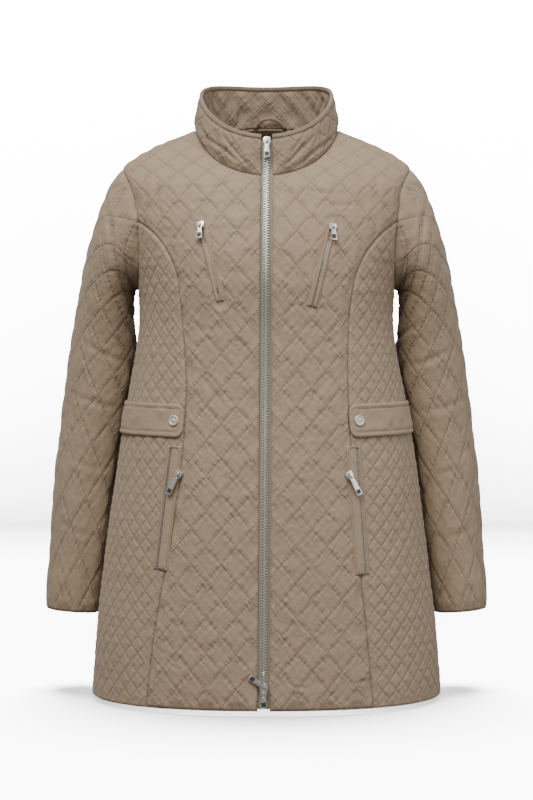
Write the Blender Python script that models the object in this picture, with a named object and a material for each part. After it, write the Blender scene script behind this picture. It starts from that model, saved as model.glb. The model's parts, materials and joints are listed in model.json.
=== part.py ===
"""Quilted coat, filled out with no wearer: every sewn piece as its own solid.

Metres, +Z up, front towards -Y.  The origin lies between the two neck points, where the shoulders
carry the coat, so a height is always minus a tailor's drop below the neck point.
"""
import math
from collections import namedtuple

import bmesh
import bpy
import numpy as np
from mathutils import Matrix, Vector
from mathutils.geometry import delaunay_2d_cdt

# ---------------------------------------------------------------- driving sizes
SEAM_GAP = 0.0003          # between two pieces at a seam
SEAM_WALL = 0.0022         # thickness of the wall at a seam
STITCH_WALL = 0.0024       # thickness along a quilting line
LARGE_RISE = 0.0032        # middle of a large quilted diamond above its stitches
SMALL_RISE = 0.0014        # the same for a small diamond
LARGE_DIAMOND = (0.041, 0.048)    # width, height
SMALL_DIAMOND = (0.0215, 0.0245)
SECTION_POWER = 2.3        # 2 is an ellipse, more is squarer
SEAM_STEP = 0.024          # spacing of the points along a seam
LINING_STEP = 0.046        # spacing of the points of the plain inside
NECK_ZONE_HALF = 0.135     # around the neck the inside's points lie twice as close,
NECK_ZONE_DROP = 0.085     # this far out and down
SIDE_SEAM_STEPS = 24
PRINCESS_STEPS = 28

HEM_DROP = 0.806
UNDERARM_DROP = 0.222
SHOULDER_TIP_DROP = 0.054
NECK_HALF_WIDTH = 0.1005
NECK_FRONT_DEPTH = 0.105
NECK_BACK_DEPTH = 0.080
ZIP_HALF_GAP = 0.0080      # from the centre line to a front's edge
ZIP_LEAN = 0.0046          # the front's closing drifts this far to the wearer's right, neck to hem
SIDE_SEAM_TURN = math.radians(97)

Section = namedtuple("Section", "drop half_width front back")
BODY_SECTIONS = (
    Section(-0.020, 0.066, 0.012, 0.080),
    Section(0.000, 0.106, 0.026, 0.098),
    Section(0.020, 0.152, 0.048, 0.114),
    Section(0.038, 0.186, 0.066, 0.124),
    Section(0.054, 0.206, 0.082, 0.131),
    Section(0.076, 0.214, 0.105, 0.137),
    Section(0.120, 0.206, 0.126, 0.143),
    Section(0.170, 0.193, 0.140, 0.145),
    Section(0.222, 0.182, 0.145, 0.140),
    Section(0.280, 0.180, 0.141, 0.132),
    Section(0.330, 0.187, 0.141, 0.132),
    Section(0.380, 0.196, 0.143, 0.137),
    Section(0.430, 0.2045, 0.147, 0.144),
    Section(0.510, 0.216, 0.153, 0.152),
    Section(0.600, 0.2275, 0.158, 0.158),
    Section(0.700, 0.2395, 0.162, 0.163),
    Section(0.806, 0.248, 0.166, 0.167),
)

SeamRow = namedtuple("SeamRow", "drop left right")
# distance of a seam from the centre line, seen from the front, on each side of the picture
ARMHOLE_FRONT = (
    SeamRow(0.054, 0.2060, 0.2060),
    SeamRow(0.070, 0.1985, 0.1975),
    SeamRow(0.092, 0.1885, 0.1880),
    SeamRow(0.126, 0.1808, 0.1838),
    SeamRow(0.160, 0.1790, 0.1805),
    SeamRow(0.192, 0.1790, 0.1795),
    SeamRow(0.212, 0.1800, 0.1800),
    SeamRow(0.222, 0.1820, 0.1820),
)
ARMHOLE_BACK = (
    SeamRow(0.054, 0.2060, 0.2060),
    SeamRow(0.070, 0.1960, 0.1960),
    SeamRow(0.092, 0.1870, 0.1870),
    SeamRow(0.126, 0.1800, 0.1800),
    SeamRow(0.160, 0.1770, 0.1770),
    SeamRow(0.192, 0.1770, 0.1770),
    SeamRow(0.212, 0.1790, 0.1790),
    SeamRow(0.222, 0.1820, 0.1820),
)
PRINCESS_SEAM = (
    SeamRow(0.134, 0.1805, 0.1830),
    SeamRow(0.152, 0.1580, 0.1620),
    SeamRow(0.178, 0.1380, 0.1400),
    SeamRow(0.205, 0.1255, 0.1260),
    SeamRow(0.248, 0.1181, 0.1160),
    SeamRow(0.298, 0.1138, 0.1122),
    SeamRow(0.365, 0.1095, 0.1118),
    SeamRow(0.440, 0.1130, 0.1150),
    SeamRow(0.535, 0.1233, 0.1205),
    SeamRow(0.605, 0.1355, 0.1260),
    SeamRow(0.700, 0.1520, 0.1360),
    SeamRow(0.806, 0.1640, 0.1450),
)

SleeveRow = namedtuple("SleeveRow", "along outer_x outer_drop inner_x inner_drop half_depth depth")
# share along the sleeve, its outer and inner line seen from the front, how deep the tube is and where
SLEEVE_SECTIONS = (
    SleeveRow(0.0, 0.2210, 0.074, 0.1885, 0.2225, 0.064, 0.004),
    SleeveRow(0.1, 0.2400, 0.121, 0.1950, 0.2265, 0.067, 0.012),
    SleeveRow(0.2, 0.2550, 0.172, 0.1990, 0.2420, 0.067, 0.022),
    SleeveRow(0.3, 0.2680, 0.225, 0.1975, 0.2750, 0.065, 0.034),
    SleeveRow(0.4, 0.2795, 0.282, 0.1930, 0.3180, 0.063, 0.046),
    SleeveRow(0.5, 0.2900, 0.342, 0.1915, 0.3690, 0.061, 0.053),
    SleeveRow(0.6, 0.2990, 0.406, 0.1980, 0.4270, 0.059, 0.058),
    SleeveRow(0.7, 0.3065, 0.474, 0.2060, 0.4900, 0.056, 0.061),
    SleeveRow(0.8, 0.3135, 0.545, 0.2140, 0.5570, 0.053, 0.063),
    SleeveRow(0.9, 0.3195, 0.619, 0.2235, 0.6270, 0.050, 0.065),
    SleeveRow(1.0, 0.3248, 0.6935, 0.2325, 0.6985, 0.048, 0.066),
)
SLEEVE_COLUMNS = 20        # two to a quilted diamond
SLEEVE_RINGS = 16          # two to a quilted diamond
SLEEVE_FREE_SHARE = 0.18   # from here on the tube hangs beside the body
SLEEVE_CLEARANCE = 0.0044  # from the side of the body, over the quilting

CollarRow = namedtuple("CollarRow", "rise half_width front back side_height front_height back_height")
COLLAR_TOP = CollarRow(0.059, 0.0930, 0.100, 0.072, 0.056, 0.0184, 0.0800)
COLLAR_FRONT_BEND = 1.15   # the top edge drops evenly to the front, and stays high round the back
COLLAR_BACK_BEND = 2.0
COLLAR_SWELL = 0.0012      # outwards, half way up
COLLAR_SHARES = (0.0, 0.22, 0.44, 0.66, 0.87, 1.0)
COLLAR_WALL = 0.0030
COLLAR_RISE = 0.0022
BINDING_HEIGHT = 0.0055
BINDING_THICKNESS = 0.0010
BINDING_GAP = 0.0006

FACING_HALF_ANGLE = math.radians(46)
FACING_DEPTH = 0.046
FACING_ROWS = 4
FACING_TOP_GAP = 0.0012    # under the neck seam
FACING_END_SHARE = 0.4      # of its depth at its two ends
FACING_GAP = 0.0016
FACING_WALL = 0.0010

HANGER_LEFT, HANGER_RIGHT = -0.0175, 0.0275
HANGER_HEIGHT = 0.014
HANGER_FOOT_SHARE = 0.05   # height of its ends on the collar
HANGER_SEAT = 0.0006       # from the collar's inner face at its two ends
HANGER_STAND = 0.0082
HANGER_WIDTH = 0.0055
HANGER_THICKNESS = 0.0020
HANGER_STEPS = 10

TAPE_HALF_GAP = 0.0002
TAPE_HALF_WIDTH = 0.0150
TAPE_TOP_SHARE = 0.88
TAPE_HEM_GAP = 0.003       # from the tape's lower end to the hem
COLLAR_BASE_DROP = 0.076   # of the neck seam at centre front
COLLAR_RADIUS = 0.085
BODY_FRONT_RADIUS = 0.25
TAPE_WALL = 0.0010
TAPE_SEAT = 0.0019         # behind the inner face of the fronts
CHAIN_WIDTH = 0.0088
CHAIN_TOP = 0.0016         # over the inner face of the fronts
CHAIN_TOP_SHARE = 0.93
CHAIN_END_DROP = 0.7682

WELT_WALL = 0.0016
CHEST_WELT_HALF = 0.0078
CHEST_WELT = {-1: ((0.0903, 0.141), (0.0622, 0.252)), 1: ((0.0903, 0.143), (0.0615, 0.259))}
WELT_BASE = 0.0033         # over the flat-pressed quilting, from the body's inner face
POCKET_WELT_HALF = 0.0110
POCKET_WELT = {-1: ((0.1245, 0.449), (0.1440, 0.619)), 1: ((0.1180, 0.449), (0.1300, 0.625))}
POCKET_SLIT = 0.0055       # the pocket's chain from the middle of its welt, towards the side
WELT_STEPS = 6
POCKET_CHAIN = 0.0040
POCKET_CHAIN_HEIGHT = 0.0012

TAB_SEAM_DROP = 0.4090
TAB_END_DROP = 0.4155
TAB_END_X = 0.1118
TAB_HEIGHT = 0.0465
TAB_CORNER = 0.011
TAB_WALL = 0.0032
TAB_STEPS = 12
TAB_SEAM_TURN = 0.01       # from the side seam to the tab's first end
TAB_BASE = 0.0042          # over the fine quilting, from the body's inner face

SNAP_X = 0.1240
SNAP_SHARE = 0.93          # of the way along the tab
SNAP_RADIUS = 0.0078
SNAP_HEIGHT = 0.0020
SNAP_SEAT = 0.0005
SNAP_SEGMENTS = 20

SLIDER_WIDTH = 0.0106
SLIDER_TAIL_WIDTH = 0.0078
SLIDER_NOSE = 0.0016
SLIDER_THICKNESS = 0.0026
ARCH_WIDTH = 0.0024
ARCH_HALF_LENGTH = 0.0036
ARCH_HEIGHT = 0.0067
TUNNEL_HALF_LENGTH = 0.0024
TUNNEL_TOP = 0.0056
BAR_HEIGHT = 0.0041        # middle of the pull's bar over the slider's underside
BAR_HALF = 0.0009
EYE_HALF_WIDTH = 0.0017
EYE_END = 0.0052
PULL_WIDTH = 0.0086
PULL_THICKNESS = 0.0015
PULL_NECK_WIDTH = 0.0058
PULL_NECK_END = 0.0066
PULL_PLATE_START = 0.0080
PULL_CORNER = 0.0008

TOP_SLIDER_SHARE = 0.84    # height on the collar
TOP_HALF_LENGTH = 0.0058
TOP_PULL = 0.0240
BOTTOM_SLIDER_DROP = 0.7770
BOTTOM_HALF_LENGTH = 0.0085
BOTTOM_PULL_UP = 0.0235
BOTTOM_PULL_UP_TURN = math.radians(-125)   # from straight down, towards the picture's left
BOTTOM_PULL_DOWN = 0.0200
BRIDGE_SHIFT = 0.0044
CHEST_SLIDER_SHARE = 0.06  # of the way down the welt
CHEST_HALF_LENGTH = 0.0046
CHEST_PULL = 0.0200
POCKET_HALF_LENGTH = 0.0060
POCKET_PULL = 0.0300
POCKET_SLIDER = {-1: (0.1180, 0.4885), 1: (0.1110, 0.4895)}
POCKET_PULL_LEAN = 0.545   # sideways for each unit down, towards the side


# ---------------------------------------------------------------- small helpers
def lerp(a, b, t):
    """The value a share t of the way from a to b."""
    return a + (b - a) * t


def smooth_rows(rows, columns, key="drop"):
    """A function that reads the named columns of a table at any drop, on a smooth curve."""
    knots = np.array([getattr(row, key) for row in rows])
    values = np.array([[getattr(row, name) for name in columns] for row in rows])
    slopes = np.gradient(values, knots, axis=0)

    def read(drop):
        drop = min(max(drop, knots[0]), knots[-1])
        i = min(int(np.searchsorted(knots, drop, side="right")) - 1, len(knots) - 2)
        i = max(i, 0)
        step = knots[i + 1] - knots[i]
        t = (drop - knots[i]) / step
        start = (1 + 2 * t) * (1 - t) ** 2
        end = t * t * (3 - 2 * t)
        leaving = t * (1 - t) ** 2 * step
        arriving = t * t * (t - 1) * step
        return (start * values[i] + end * values[i + 1]
                + leaving * slopes[i] + arriving * slopes[i + 1])

    return read


body_section = smooth_rows(BODY_SECTIONS, ("half_width", "front", "back"))
armhole_front = smooth_rows(ARMHOLE_FRONT, ("left", "right"))
armhole_back = smooth_rows(ARMHOLE_BACK, ("left", "right"))
princess = smooth_rows(PRINCESS_SEAM, ("left", "right"))
sleeve_section = smooth_rows(SLEEVE_SECTIONS, SleeveRow._fields[1:], key="along")


def side_value(pair, side):
    """The left or right value of a seam row; side is -1 on the picture's left, 1 on its right."""
    return float(pair[0] if side < 0 else pair[1])


def centre_line(drop):
    """Where the front's closing runs: it leans a little towards the picture's left."""
    return 0.0006 - ZIP_LEAN * max(drop, 0.0) / HEM_DROP


# ---------------------------------------------------------------- the body's inner surface
def body_point(turn, drop):
    """Point on the inner face: turn is the angle from centre front, positive to the picture's right."""
    half_width, front, back = body_section(drop)
    depth = front if math.cos(turn) > 0 else back
    reach = (abs(math.sin(turn)) / half_width) ** SECTION_POWER
    reach += (abs(math.cos(turn)) / depth) ** SECTION_POWER
    radius = reach ** (-1 / SECTION_POWER)
    return Vector((radius * math.sin(turn), -radius * math.cos(turn), -drop))


def body_normal(turn, drop):
    """Unit vector out of the cloth at body_point(turn, drop)."""
    step_turn, step_drop = 1e-3, 1e-4
    low = max(drop - step_drop, BODY_SECTIONS[0].drop)
    high = min(drop + step_drop, HEM_DROP)
    around = body_point(turn + step_turn, drop) - body_point(turn - step_turn, drop)
    down = body_point(turn, high) - body_point(turn, low)
    return down.cross(around).normalized()


def turn_at_x(x, drop, back=False):
    """The turn at which the section at this drop reaches the distance x from the centre line."""
    half_width, front, behind = body_section(drop)
    depth = behind if back else front
    share = min(abs(x) / half_width, 0.99999)
    y = depth * (1 - share ** SECTION_POWER) ** (1 / SECTION_POWER)
    turn = math.atan2(abs(x), -y if back else y)
    return math.copysign(turn, x)


# ---------------------------------------------------------------- flat pattern coordinates
class FlatPattern:
    """Turns a place on the body into flat pattern coordinates and back."""

    ROWS = 150
    COLUMNS = 181

    def __init__(self, back):
        self.back = back
        self.drops = np.linspace(BODY_SECTIONS[0].drop, HEM_DROP, self.ROWS)
        self.turns = np.linspace(0, math.pi, self.COLUMNS)
        grid = np.array([[body_point(turn, drop) for turn in self.turns] for drop in self.drops])
        steps = np.linalg.norm(np.diff(grid[:, :, :2], axis=1), axis=2)
        self.arcs = np.concatenate([np.zeros((self.ROWS, 1)), np.cumsum(steps, axis=1)], axis=1)
        column = self.COLUMNS * (3 if back else 1) // 4
        meridian = np.linalg.norm(np.diff(grid[:, column], axis=0), axis=1)
        self.lengths = np.concatenate([[0], np.cumsum(meridian)])

    def arc_row(self, drop):
        """Arc lengths from centre front at every turn, at this drop."""
        place = (drop - self.drops[0]) / (self.drops[-1] - self.drops[0]) * (self.ROWS - 1)
        i = min(max(int(place), 0), self.ROWS - 2)
        return lerp(self.arcs[i], self.arcs[i + 1], min(max(place - i, 0), 1))

    def flat(self, turn, drop):
        """Pattern coordinates: across from the centre line, and down."""
        row = self.arc_row(drop)
        arc = float(np.interp(abs(turn), self.turns, row))
        if self.back:
            arc = row[-1] - arc
        down = float(np.interp(drop, self.drops, self.lengths))
        return math.copysign(arc, turn), down

    def place(self, across, down):
        """Turn and drop of a point given in pattern coordinates."""
        drop = float(np.interp(down, self.lengths, self.drops))
        row = self.arc_row(drop)
        arc = row[-1] - abs(across) if self.back else abs(across)
        turn = float(np.interp(arc, row, self.turns))
        return math.copysign(turn, across), drop


FRONT_PATTERN = FlatPattern(back=False)
BACK_PATTERN = FlatPattern(back=True)


def inside_and_distance(polygon, point):
    """Whether a flat point lies in the polygon, and how far it is from its outline."""
    start = polygon
    end = np.roll(polygon, -1, axis=0)
    edge = end - start
    to_point = point - start
    share = np.clip((to_point * edge).sum(1) / (edge * edge).sum(1), 0, 1)
    distance = np.linalg.norm(to_point - edge * share[:, None], axis=1).min()
    spans = (start[:, 1] > point[1]) != (end[:, 1] > point[1])
    rise = np.where(spans, edge[:, 1], 1.0)
    cross_x = start[:, 0] + edge[:, 0] * (point[1] - start[:, 1]) / rise
    crossings = np.count_nonzero(spans & (point[0] < cross_x))
    return crossings % 2 == 1, distance


# ---------------------------------------------------------------- seams
SeamPoint = namedtuple("SeamPoint", "turn drop position normal")


def plain_seam_point(turn, drop):
    """A seam point whose wall stands square to the body."""
    return SeamPoint(turn, drop, body_point(turn, drop), body_normal(turn, drop))


def evenly(curve, count, fine=80):
    """Parameters from 0 to 1 along curve(t) at count equal lengths, ends included."""
    parameters = np.linspace(0, 1, fine + 1)
    points = [curve(t) for t in parameters]
    lengths = np.cumsum([0.0] + [(b - a).length for a, b in zip(points, points[1:])])
    return [float(np.interp(lengths[-1] * i / count, lengths, parameters)) for i in range(count + 1)]


def step_count(curve, step, fine=80):
    """How many steps of about this length fit along curve(t)."""
    points = [curve(t) for t in np.linspace(0, 1, fine + 1)]
    return max(1, round(sum((b - a).length for a, b in zip(points, points[1:])) / step))


def neck_drop(turn, radius):
    """The drop at which the body's section reaches a radius near the neck."""
    low, high = BODY_SECTIONS[0].drop, 0.12
    for _ in range(40):
        middle = (low + high) / 2
        if body_point(turn, middle).xy.length < radius:
            low = middle
        else:
            high = middle
    return (low + high) / 2


def neck_place(angle):
    """Turn and drop of the neck seam at an angle round the neck, 0 at centre front."""
    depth = NECK_FRONT_DEPTH if math.cos(angle) > 0 else NECK_BACK_DEPTH
    x = NECK_HALF_WIDTH * math.sin(angle)
    y = -depth * math.cos(angle)
    turn = math.atan2(x, -y)
    return turn, neck_drop(turn, math.hypot(x, y))


def collar_top_point(angle):
    """Point of the collar's top edge, inner face, at an angle round the neck."""
    front = math.cos(angle) > 0
    depth = COLLAR_TOP.front if front else COLLAR_TOP.back
    level = -COLLAR_TOP.front_height if front else COLLAR_TOP.back_height
    forward = abs(math.cos(angle))
    share = forward ** COLLAR_FRONT_BEND if front else 1 - (1 - forward) ** COLLAR_BACK_BEND
    return Vector((COLLAR_TOP.half_width * math.sin(angle), -depth * math.cos(angle),
                   lerp(COLLAR_TOP.side_height, level, share)))


def collar_point(angle, share):
    """Inner face of the collar: share is 0 at the neck seam and 1 at the top edge."""
    turn, drop = neck_place(angle)
    base = body_point(turn, drop)
    top = collar_top_point(angle)
    point = base.lerp(top, share)
    outward = Vector((math.sin(angle), -math.cos(angle), 0))
    return point + outward * (COLLAR_SWELL * math.sin(math.pi * share))


def collar_normal(angle, share):
    """Unit vector out of the collar's outer face."""
    step = 1e-3
    low, high = max(share - step, 0), min(share + step, 1)
    around = collar_point(angle + step, share) - collar_point(angle - step, share)
    up = collar_point(angle, high) - collar_point(angle, low)
    return around.cross(up).normalized()


def collar_end_angle(side):
    """Angle at which the collar meets the zip on one side."""
    x = centre_line(0) + side * ZIP_HALF_GAP
    return math.asin(x / NECK_HALF_WIDTH)


COLLAR_COLUMNS = 8         # from the zip to the side, and again to centre back


def collar_angles(side):
    """Angles of the collar's columns on one side, from the zip to centre back."""
    first = collar_end_angle(side)
    quarter = side * math.pi / 2
    front = [lerp(first, quarter, i / COLLAR_COLUMNS) for i in range(COLLAR_COLUMNS)]
    back = [lerp(quarter, side * math.pi, i / COLLAR_COLUMNS) for i in range(COLLAR_COLUMNS + 1)]
    return front + back


def neck_seam(side):
    """Neck seam points on one side, from the zip to centre back, mitred with the collar."""
    points = []
    for angle in collar_angles(side):
        turn, drop = neck_place(angle)
        normal = (body_normal(turn, drop) + collar_normal(angle, 0)).normalized()
        points.append(SeamPoint(turn, drop, body_point(turn, drop), normal))
    return points


def armhole_place(side, back, drop):
    """Turn of the armhole seam at a drop, on the front or the back of one side."""
    table = armhole_back if back else armhole_front
    return side * turn_at_x(side_value(table(drop), side), drop, back)


def sleeve_point(side, share, angle):
    """Inner face of the hanging sleeve: angle 0 is the outer line, 90 degrees the front."""
    outer_x, outer_drop, inner_x, inner_drop, half_depth, depth = sleeve_section(share)
    outer = Vector((outer_x, depth, -outer_drop))
    inner = Vector((inner_x, depth, -inner_drop))
    centre = (outer + inner) / 2
    point = centre + (outer - centre) * math.cos(angle)
    point.y -= half_depth * math.sin(angle)
    if share >= SLEEVE_FREE_SHARE:
        point.x = max(point.x, beside_body(point.y, -point.z))
    point.x *= side
    return point


def beside_body(depth, drop):
    """Nearest distance from the centre line at which a sleeve's inner face clears the body's side."""
    half_width, front, back = body_section(drop)
    share = min(abs(depth) / (back if depth > 0 else front), 1.0)
    width = half_width * (1 - share ** SECTION_POWER) ** (1 / SECTION_POWER)
    walls = 2 * STITCH_WALL + LARGE_RISE + (LARGE_RISE if depth > 0.02 else SMALL_RISE)
    return width + walls + SLEEVE_CLEARANCE


def armhole_drop(t):
    """Drop of the armhole seam at a share t from the shoulder tip to the underarm."""
    return lerp(SHOULDER_TIP_DROP, UNDERARM_DROP, (1 - math.cos(math.pi * t)) / 2)


def armhole_half(side, back):
    """Turn and drop of the armhole's seam points from the shoulder tip to the underarm."""
    def curve(t):
        drop = armhole_drop(t)
        return body_point(armhole_place(side, back, drop), drop)

    drops = [armhole_drop(t) for t in evenly(curve, SLEEVE_COLUMNS // 2)]
    places = [(armhole_place(side, back, drop), drop) for drop in drops]
    tip = (side * math.pi / 2, SHOULDER_TIP_DROP)
    underarm = (side * math.pi / 2, UNDERARM_DROP)
    return [tip] + places[1:-1] + [underarm]


def armhole_seam(side):
    """Armhole seam points all round: the tip, down the front, the underarm and up the back."""
    places = armhole_half(side, False)[:-1] + list(reversed(armhole_half(side, True)))[:-1]
    positions = [body_point(turn, drop) for turn, drop in places]
    seam = []
    for i, (turn, drop) in enumerate(places):
        around = positions[(i + 1) % SLEEVE_COLUMNS] - positions[i - 1]
        along = sleeve_point(side, 0, math.tau * i / SLEEVE_COLUMNS) - positions[i]
        sleeve_normal = (around.cross(along) * side).normalized()
        normal = (body_normal(turn, drop) + sleeve_normal).normalized()
        seam.append(SeamPoint(turn, drop, positions[i], normal))
    return seam


def shoulder_seam(side):
    """Shoulder seam from the neck to the shoulder tip, without its ends."""
    def curve(t):
        return body_point(side * math.pi / 2, lerp(0, SHOULDER_TIP_DROP, t))

    shares = evenly(curve, step_count(curve, SEAM_STEP))[1:-1]
    return [plain_seam_point(side * math.pi / 2, lerp(0, SHOULDER_TIP_DROP, t)) for t in shares]


def side_turn(drop):
    """Angle of the side seam: it swings a little behind the underarm."""
    share = min((drop - UNDERARM_DROP) / 0.08, 1.0)
    return lerp(math.pi / 2, SIDE_SEAM_TURN, share * share * (3 - 2 * share))


def seam_down(place, top, count):
    """Seam points at equal lengths down a seam whose turn is place(drop), ends included."""
    def curve(t):
        drop = lerp(top, HEM_DROP, t)
        return body_point(place(drop), drop)

    drops = [lerp(top, HEM_DROP, t) for t in evenly(curve, count)]
    return [plain_seam_point(place(drop), drop) for drop in drops]


def side_seam(side):
    """Side seam from the underarm to the hem."""
    return seam_down(lambda drop: side * side_turn(drop), UNDERARM_DROP, SIDE_SEAM_STEPS)


def princess_seam(side, start):
    """Princess seam from an armhole seam point to the hem."""
    def place(drop):
        x = side_value(princess(max(drop, PRINCESS_SEAM[0].drop)), side)
        if drop < PRINCESS_SEAM[0].drop:
            x = side_value(princess(PRINCESS_SEAM[0].drop), side)
        return side * turn_at_x(x, drop)

    seam = seam_down(place, start.drop, PRINCESS_STEPS)
    return [start] + seam[1:]


def closing_edge(side):
    """Edge of a front beside the zip, from the neck seam to the hem, without its ends."""
    def curve(t):
        drop = lerp(neck_drop(0, NECK_FRONT_DEPTH), HEM_DROP, t)
        return body_point(closing_turn(side, drop), drop)

    top = neck_drop(0, NECK_FRONT_DEPTH)
    drops = [lerp(top, HEM_DROP, t) for t in evenly(curve, step_count(curve, SEAM_STEP))]
    return [plain_seam_point(closing_turn(side, drop), drop) for drop in drops[1:-1]]


def closing_turn(side, drop):
    """Turn of a front's closing edge at a drop."""
    x = centre_line(drop) + side * ZIP_HALF_GAP
    return turn_at_x(x, drop)


def hem_edge(first_turn, last_turn):
    """Hem points between two turns, ends included."""
    def curve(t):
        return body_point(lerp(first_turn, last_turn, t), HEM_DROP)

    shares = evenly(curve, step_count(curve, SEAM_STEP))
    return [plain_seam_point(lerp(first_turn, last_turn, t), HEM_DROP) for t in shares]


# ---------------------------------------------------------------- walls of cloth
def inset_shifts(positions, normals, amount):
    """Shift of each point of a closed outline into its piece, square to both of its edges."""
    count = len(positions)
    shifts = []
    for i in range(count):
        before = (positions[i] - positions[i - 1]).normalized()
        after = (positions[(i + 1) % count] - positions[i]).normalized()
        left_before = normals[i].cross(before).normalized()
        left_after = normals[i].cross(after).normalized()
        share = 1 + max(left_before.dot(left_after), -0.5)
        shifts.append((left_before + left_after) * (amount / share))
    return shifts


def add_object(name, mesh, material):
    """Links a finished mesh under its name, with its material."""
    item = bpy.data.objects.new(name, mesh)
    bpy.context.scene.collection.objects.link(item)
    item.data.materials.append(material)
    return item


def solid_from(name, points, faces, material, smooth=None):
    """One closed solid from points and faces, its faces turned outwards."""
    shape = bmesh.new()
    corners = [shape.verts.new(point) for point in points]
    for face in faces:
        shape.faces.new([corners[i] for i in face])
    bmesh.ops.recalc_face_normals(shape, faces=shape.faces)
    mesh = bpy.data.meshes.new(name)
    shape.to_mesh(mesh)
    shape.free()
    if smooth is not None:
        mesh.shade_smooth()
        mesh.set_sharp_from_angle(angle=smooth)
    return add_object(name, mesh, material)


def triangles_inside(outline, points, edges):
    """Triangles of an outline and the points in it, along the given edges."""
    count = len(outline)
    everything = [Vector(p) for p in outline] + [Vector(p) for p in points]
    rim = [(i, (i + 1) % count) for i in range(count)]
    verts, _, faces, origins, _, _ = delaunay_2d_cdt(everything, rim + edges, [], 0, 1e-9)
    polygon = np.array(outline)
    kept = []
    for face in faces:
        centre = sum((verts[i] for i in face), Vector((0, 0))) / 3
        if inside_and_distance(polygon, np.array(centre))[0]:
            kept.append([origins[i][0] for i in face])
    return kept


def quilting_points(outline, diamond, start, margin_share=0.24):
    """Stitch crossings and diamond middles inside an outline, and the stitched edges."""
    half_width, half_height = diamond[0] / 2, diamond[1] / 2
    polygon = np.array(outline)
    margin = margin_share * min(diamond)
    low = polygon.min(0) - np.array(start)
    high = polygon.max(0) - np.array(start)
    points, raised, index = [], [], {}
    for row in range(math.floor(low[1] / half_height), math.ceil(high[1] / half_height) + 1):
        for column in range(math.floor(low[0] / half_width), math.ceil(high[0] / half_width) + 1):
            point = np.array((start[0] + column * half_width, start[1] + row * half_height))
            inside, distance = inside_and_distance(polygon, point)
            if inside and distance > margin:
                index[column, row] = len(points)
                points.append(tuple(point))
                raised.append((column + row) % 2 == 1)
    edges = []
    for (column, row), i in index.items():
        for step in (-1, 1):
            other = index.get((column + step, row + 1))
            if other is not None and not raised[i]:
                middle = (np.array(points[i]) + np.array(points[other])) / 2
                inside, distance = inside_and_distance(polygon, middle)
                if inside and distance > 0.001:
                    edges.append((i, other))
    return points, raised, edges


def lining_points(outline, step, neck):
    """A plain grid of points inside an outline, twice as close around the neck (width, end)."""
    polygon = np.array(outline)
    low, high = polygon.min(0), polygon.max(0)
    points = []
    for spacing, around_neck in ((step, False), (step / 2, True)):
        for i, y in enumerate(np.arange(low[1] + spacing / 2, high[1], spacing * 0.87)):
            for x in np.arange(low[0] + spacing * (0.25 + 0.5 * (i % 2)), high[0], spacing):
                if around_neck != (abs(x) < neck[0] and y < neck[1]):
                    continue
                inside, distance = inside_and_distance(polygon, np.array((x, y)))
                if inside and distance > spacing * 0.35:
                    points.append((float(x), float(y)))
    return points


def welt_zone(pattern, line, side, radius):
    """Pattern coordinates of a welt's line, and how far round it the quilting is pressed flat."""
    ends = [pattern.flat(side * turn_at_x(x, drop), drop) for x, drop in line]
    return np.array(ends[0]), np.array(ends[1]), radius


def pressed_flat(point, zones):
    """Whether a quilting point lies under a welt, where the padding is pressed flat."""
    for start, end, radius in zones:
        edge = end - start
        share = np.clip((point - start).dot(edge) / edge.dot(edge), 0, 1)
        if np.linalg.norm(point - start - edge * share) < radius:
            return True
    return False


def quilted_panel(name, outline, pattern, diamond, rise, start, material, step=LINING_STEP, zones=()):
    """A panel of the body: quilted outside, plain inside, between its seam points."""
    flat = [pattern.flat(point.turn, point.drop) for point in outline]
    normals = [point.normal for point in outline]
    positions = [point.position for point in outline]
    if signed_area(flat) * (-1 if pattern.back else 1) > 0:
        left = -1
    else:
        left = 1
    shifts = inset_shifts(positions, normals, left * SEAM_GAP / 2)
    rim = [position + shift for position, shift in zip(positions, shifts)]
    crossings, raised, edges = quilting_points(flat, diamond, start)
    count = len(rim)
    edges = [(a + count, b + count) for a, b in edges]
    outer_faces = triangles_inside(flat, crossings, edges)
    plain = lining_points(flat, step, (NECK_ZONE_HALF, pattern.flat(0, NECK_ZONE_DROP)[1]))
    inner_faces = triangles_inside(flat, plain, [])
    points = [place + normal * SEAM_WALL for place, normal in zip(rim, normals)]
    for point, high in zip(crossings, raised):
        place = pattern.place(*point)
        height = STITCH_WALL + (rise if high and not pressed_flat(np.array(point), zones) else 0)
        points.append(body_point(*place) + body_normal(*place) * height)
    inner_start = len(points)
    points += rim
    points += [body_point(*pattern.place(*point)) for point in plain]
    faces = outer_faces
    faces = faces + [[i + inner_start for i in reversed(face)] for face in inner_faces]
    faces += wall_faces(count, 0, inner_start)
    return solid_from(name, points, faces, material)


def signed_area(outline):
    """Area of a flat outline, positive when it runs anticlockwise."""
    total = 0.0
    for a, b in zip(outline, outline[1:] + outline[:1]):
        total += a[0] * b[1] - b[0] * a[1]
    return total / 2


def wall_faces(count, outer, inner):
    """The narrow faces that join two matching rims."""
    faces = []
    for i in range(count):
        j = (i + 1) % count
        faces.append([outer + i, outer + j, inner + j])
        faces.append([outer + i, inner + j, inner + i])
    return faces


# ---------------------------------------------------------------- strips laid along a path
Frame = namedtuple("Frame", "position across normal")


def frames_along(positions, normals):
    """A frame at each point of a path: its place, the direction across it and out of the cloth."""
    frames = []
    last = len(positions) - 1
    for i, (position, normal) in enumerate(zip(positions, normals)):
        along = positions[min(i + 1, last)] - positions[max(i - 1, 0)]
        across = normal.cross(along).normalized()
        frames.append(Frame(position, across, along.cross(across).normalized()))
    return frames


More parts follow.
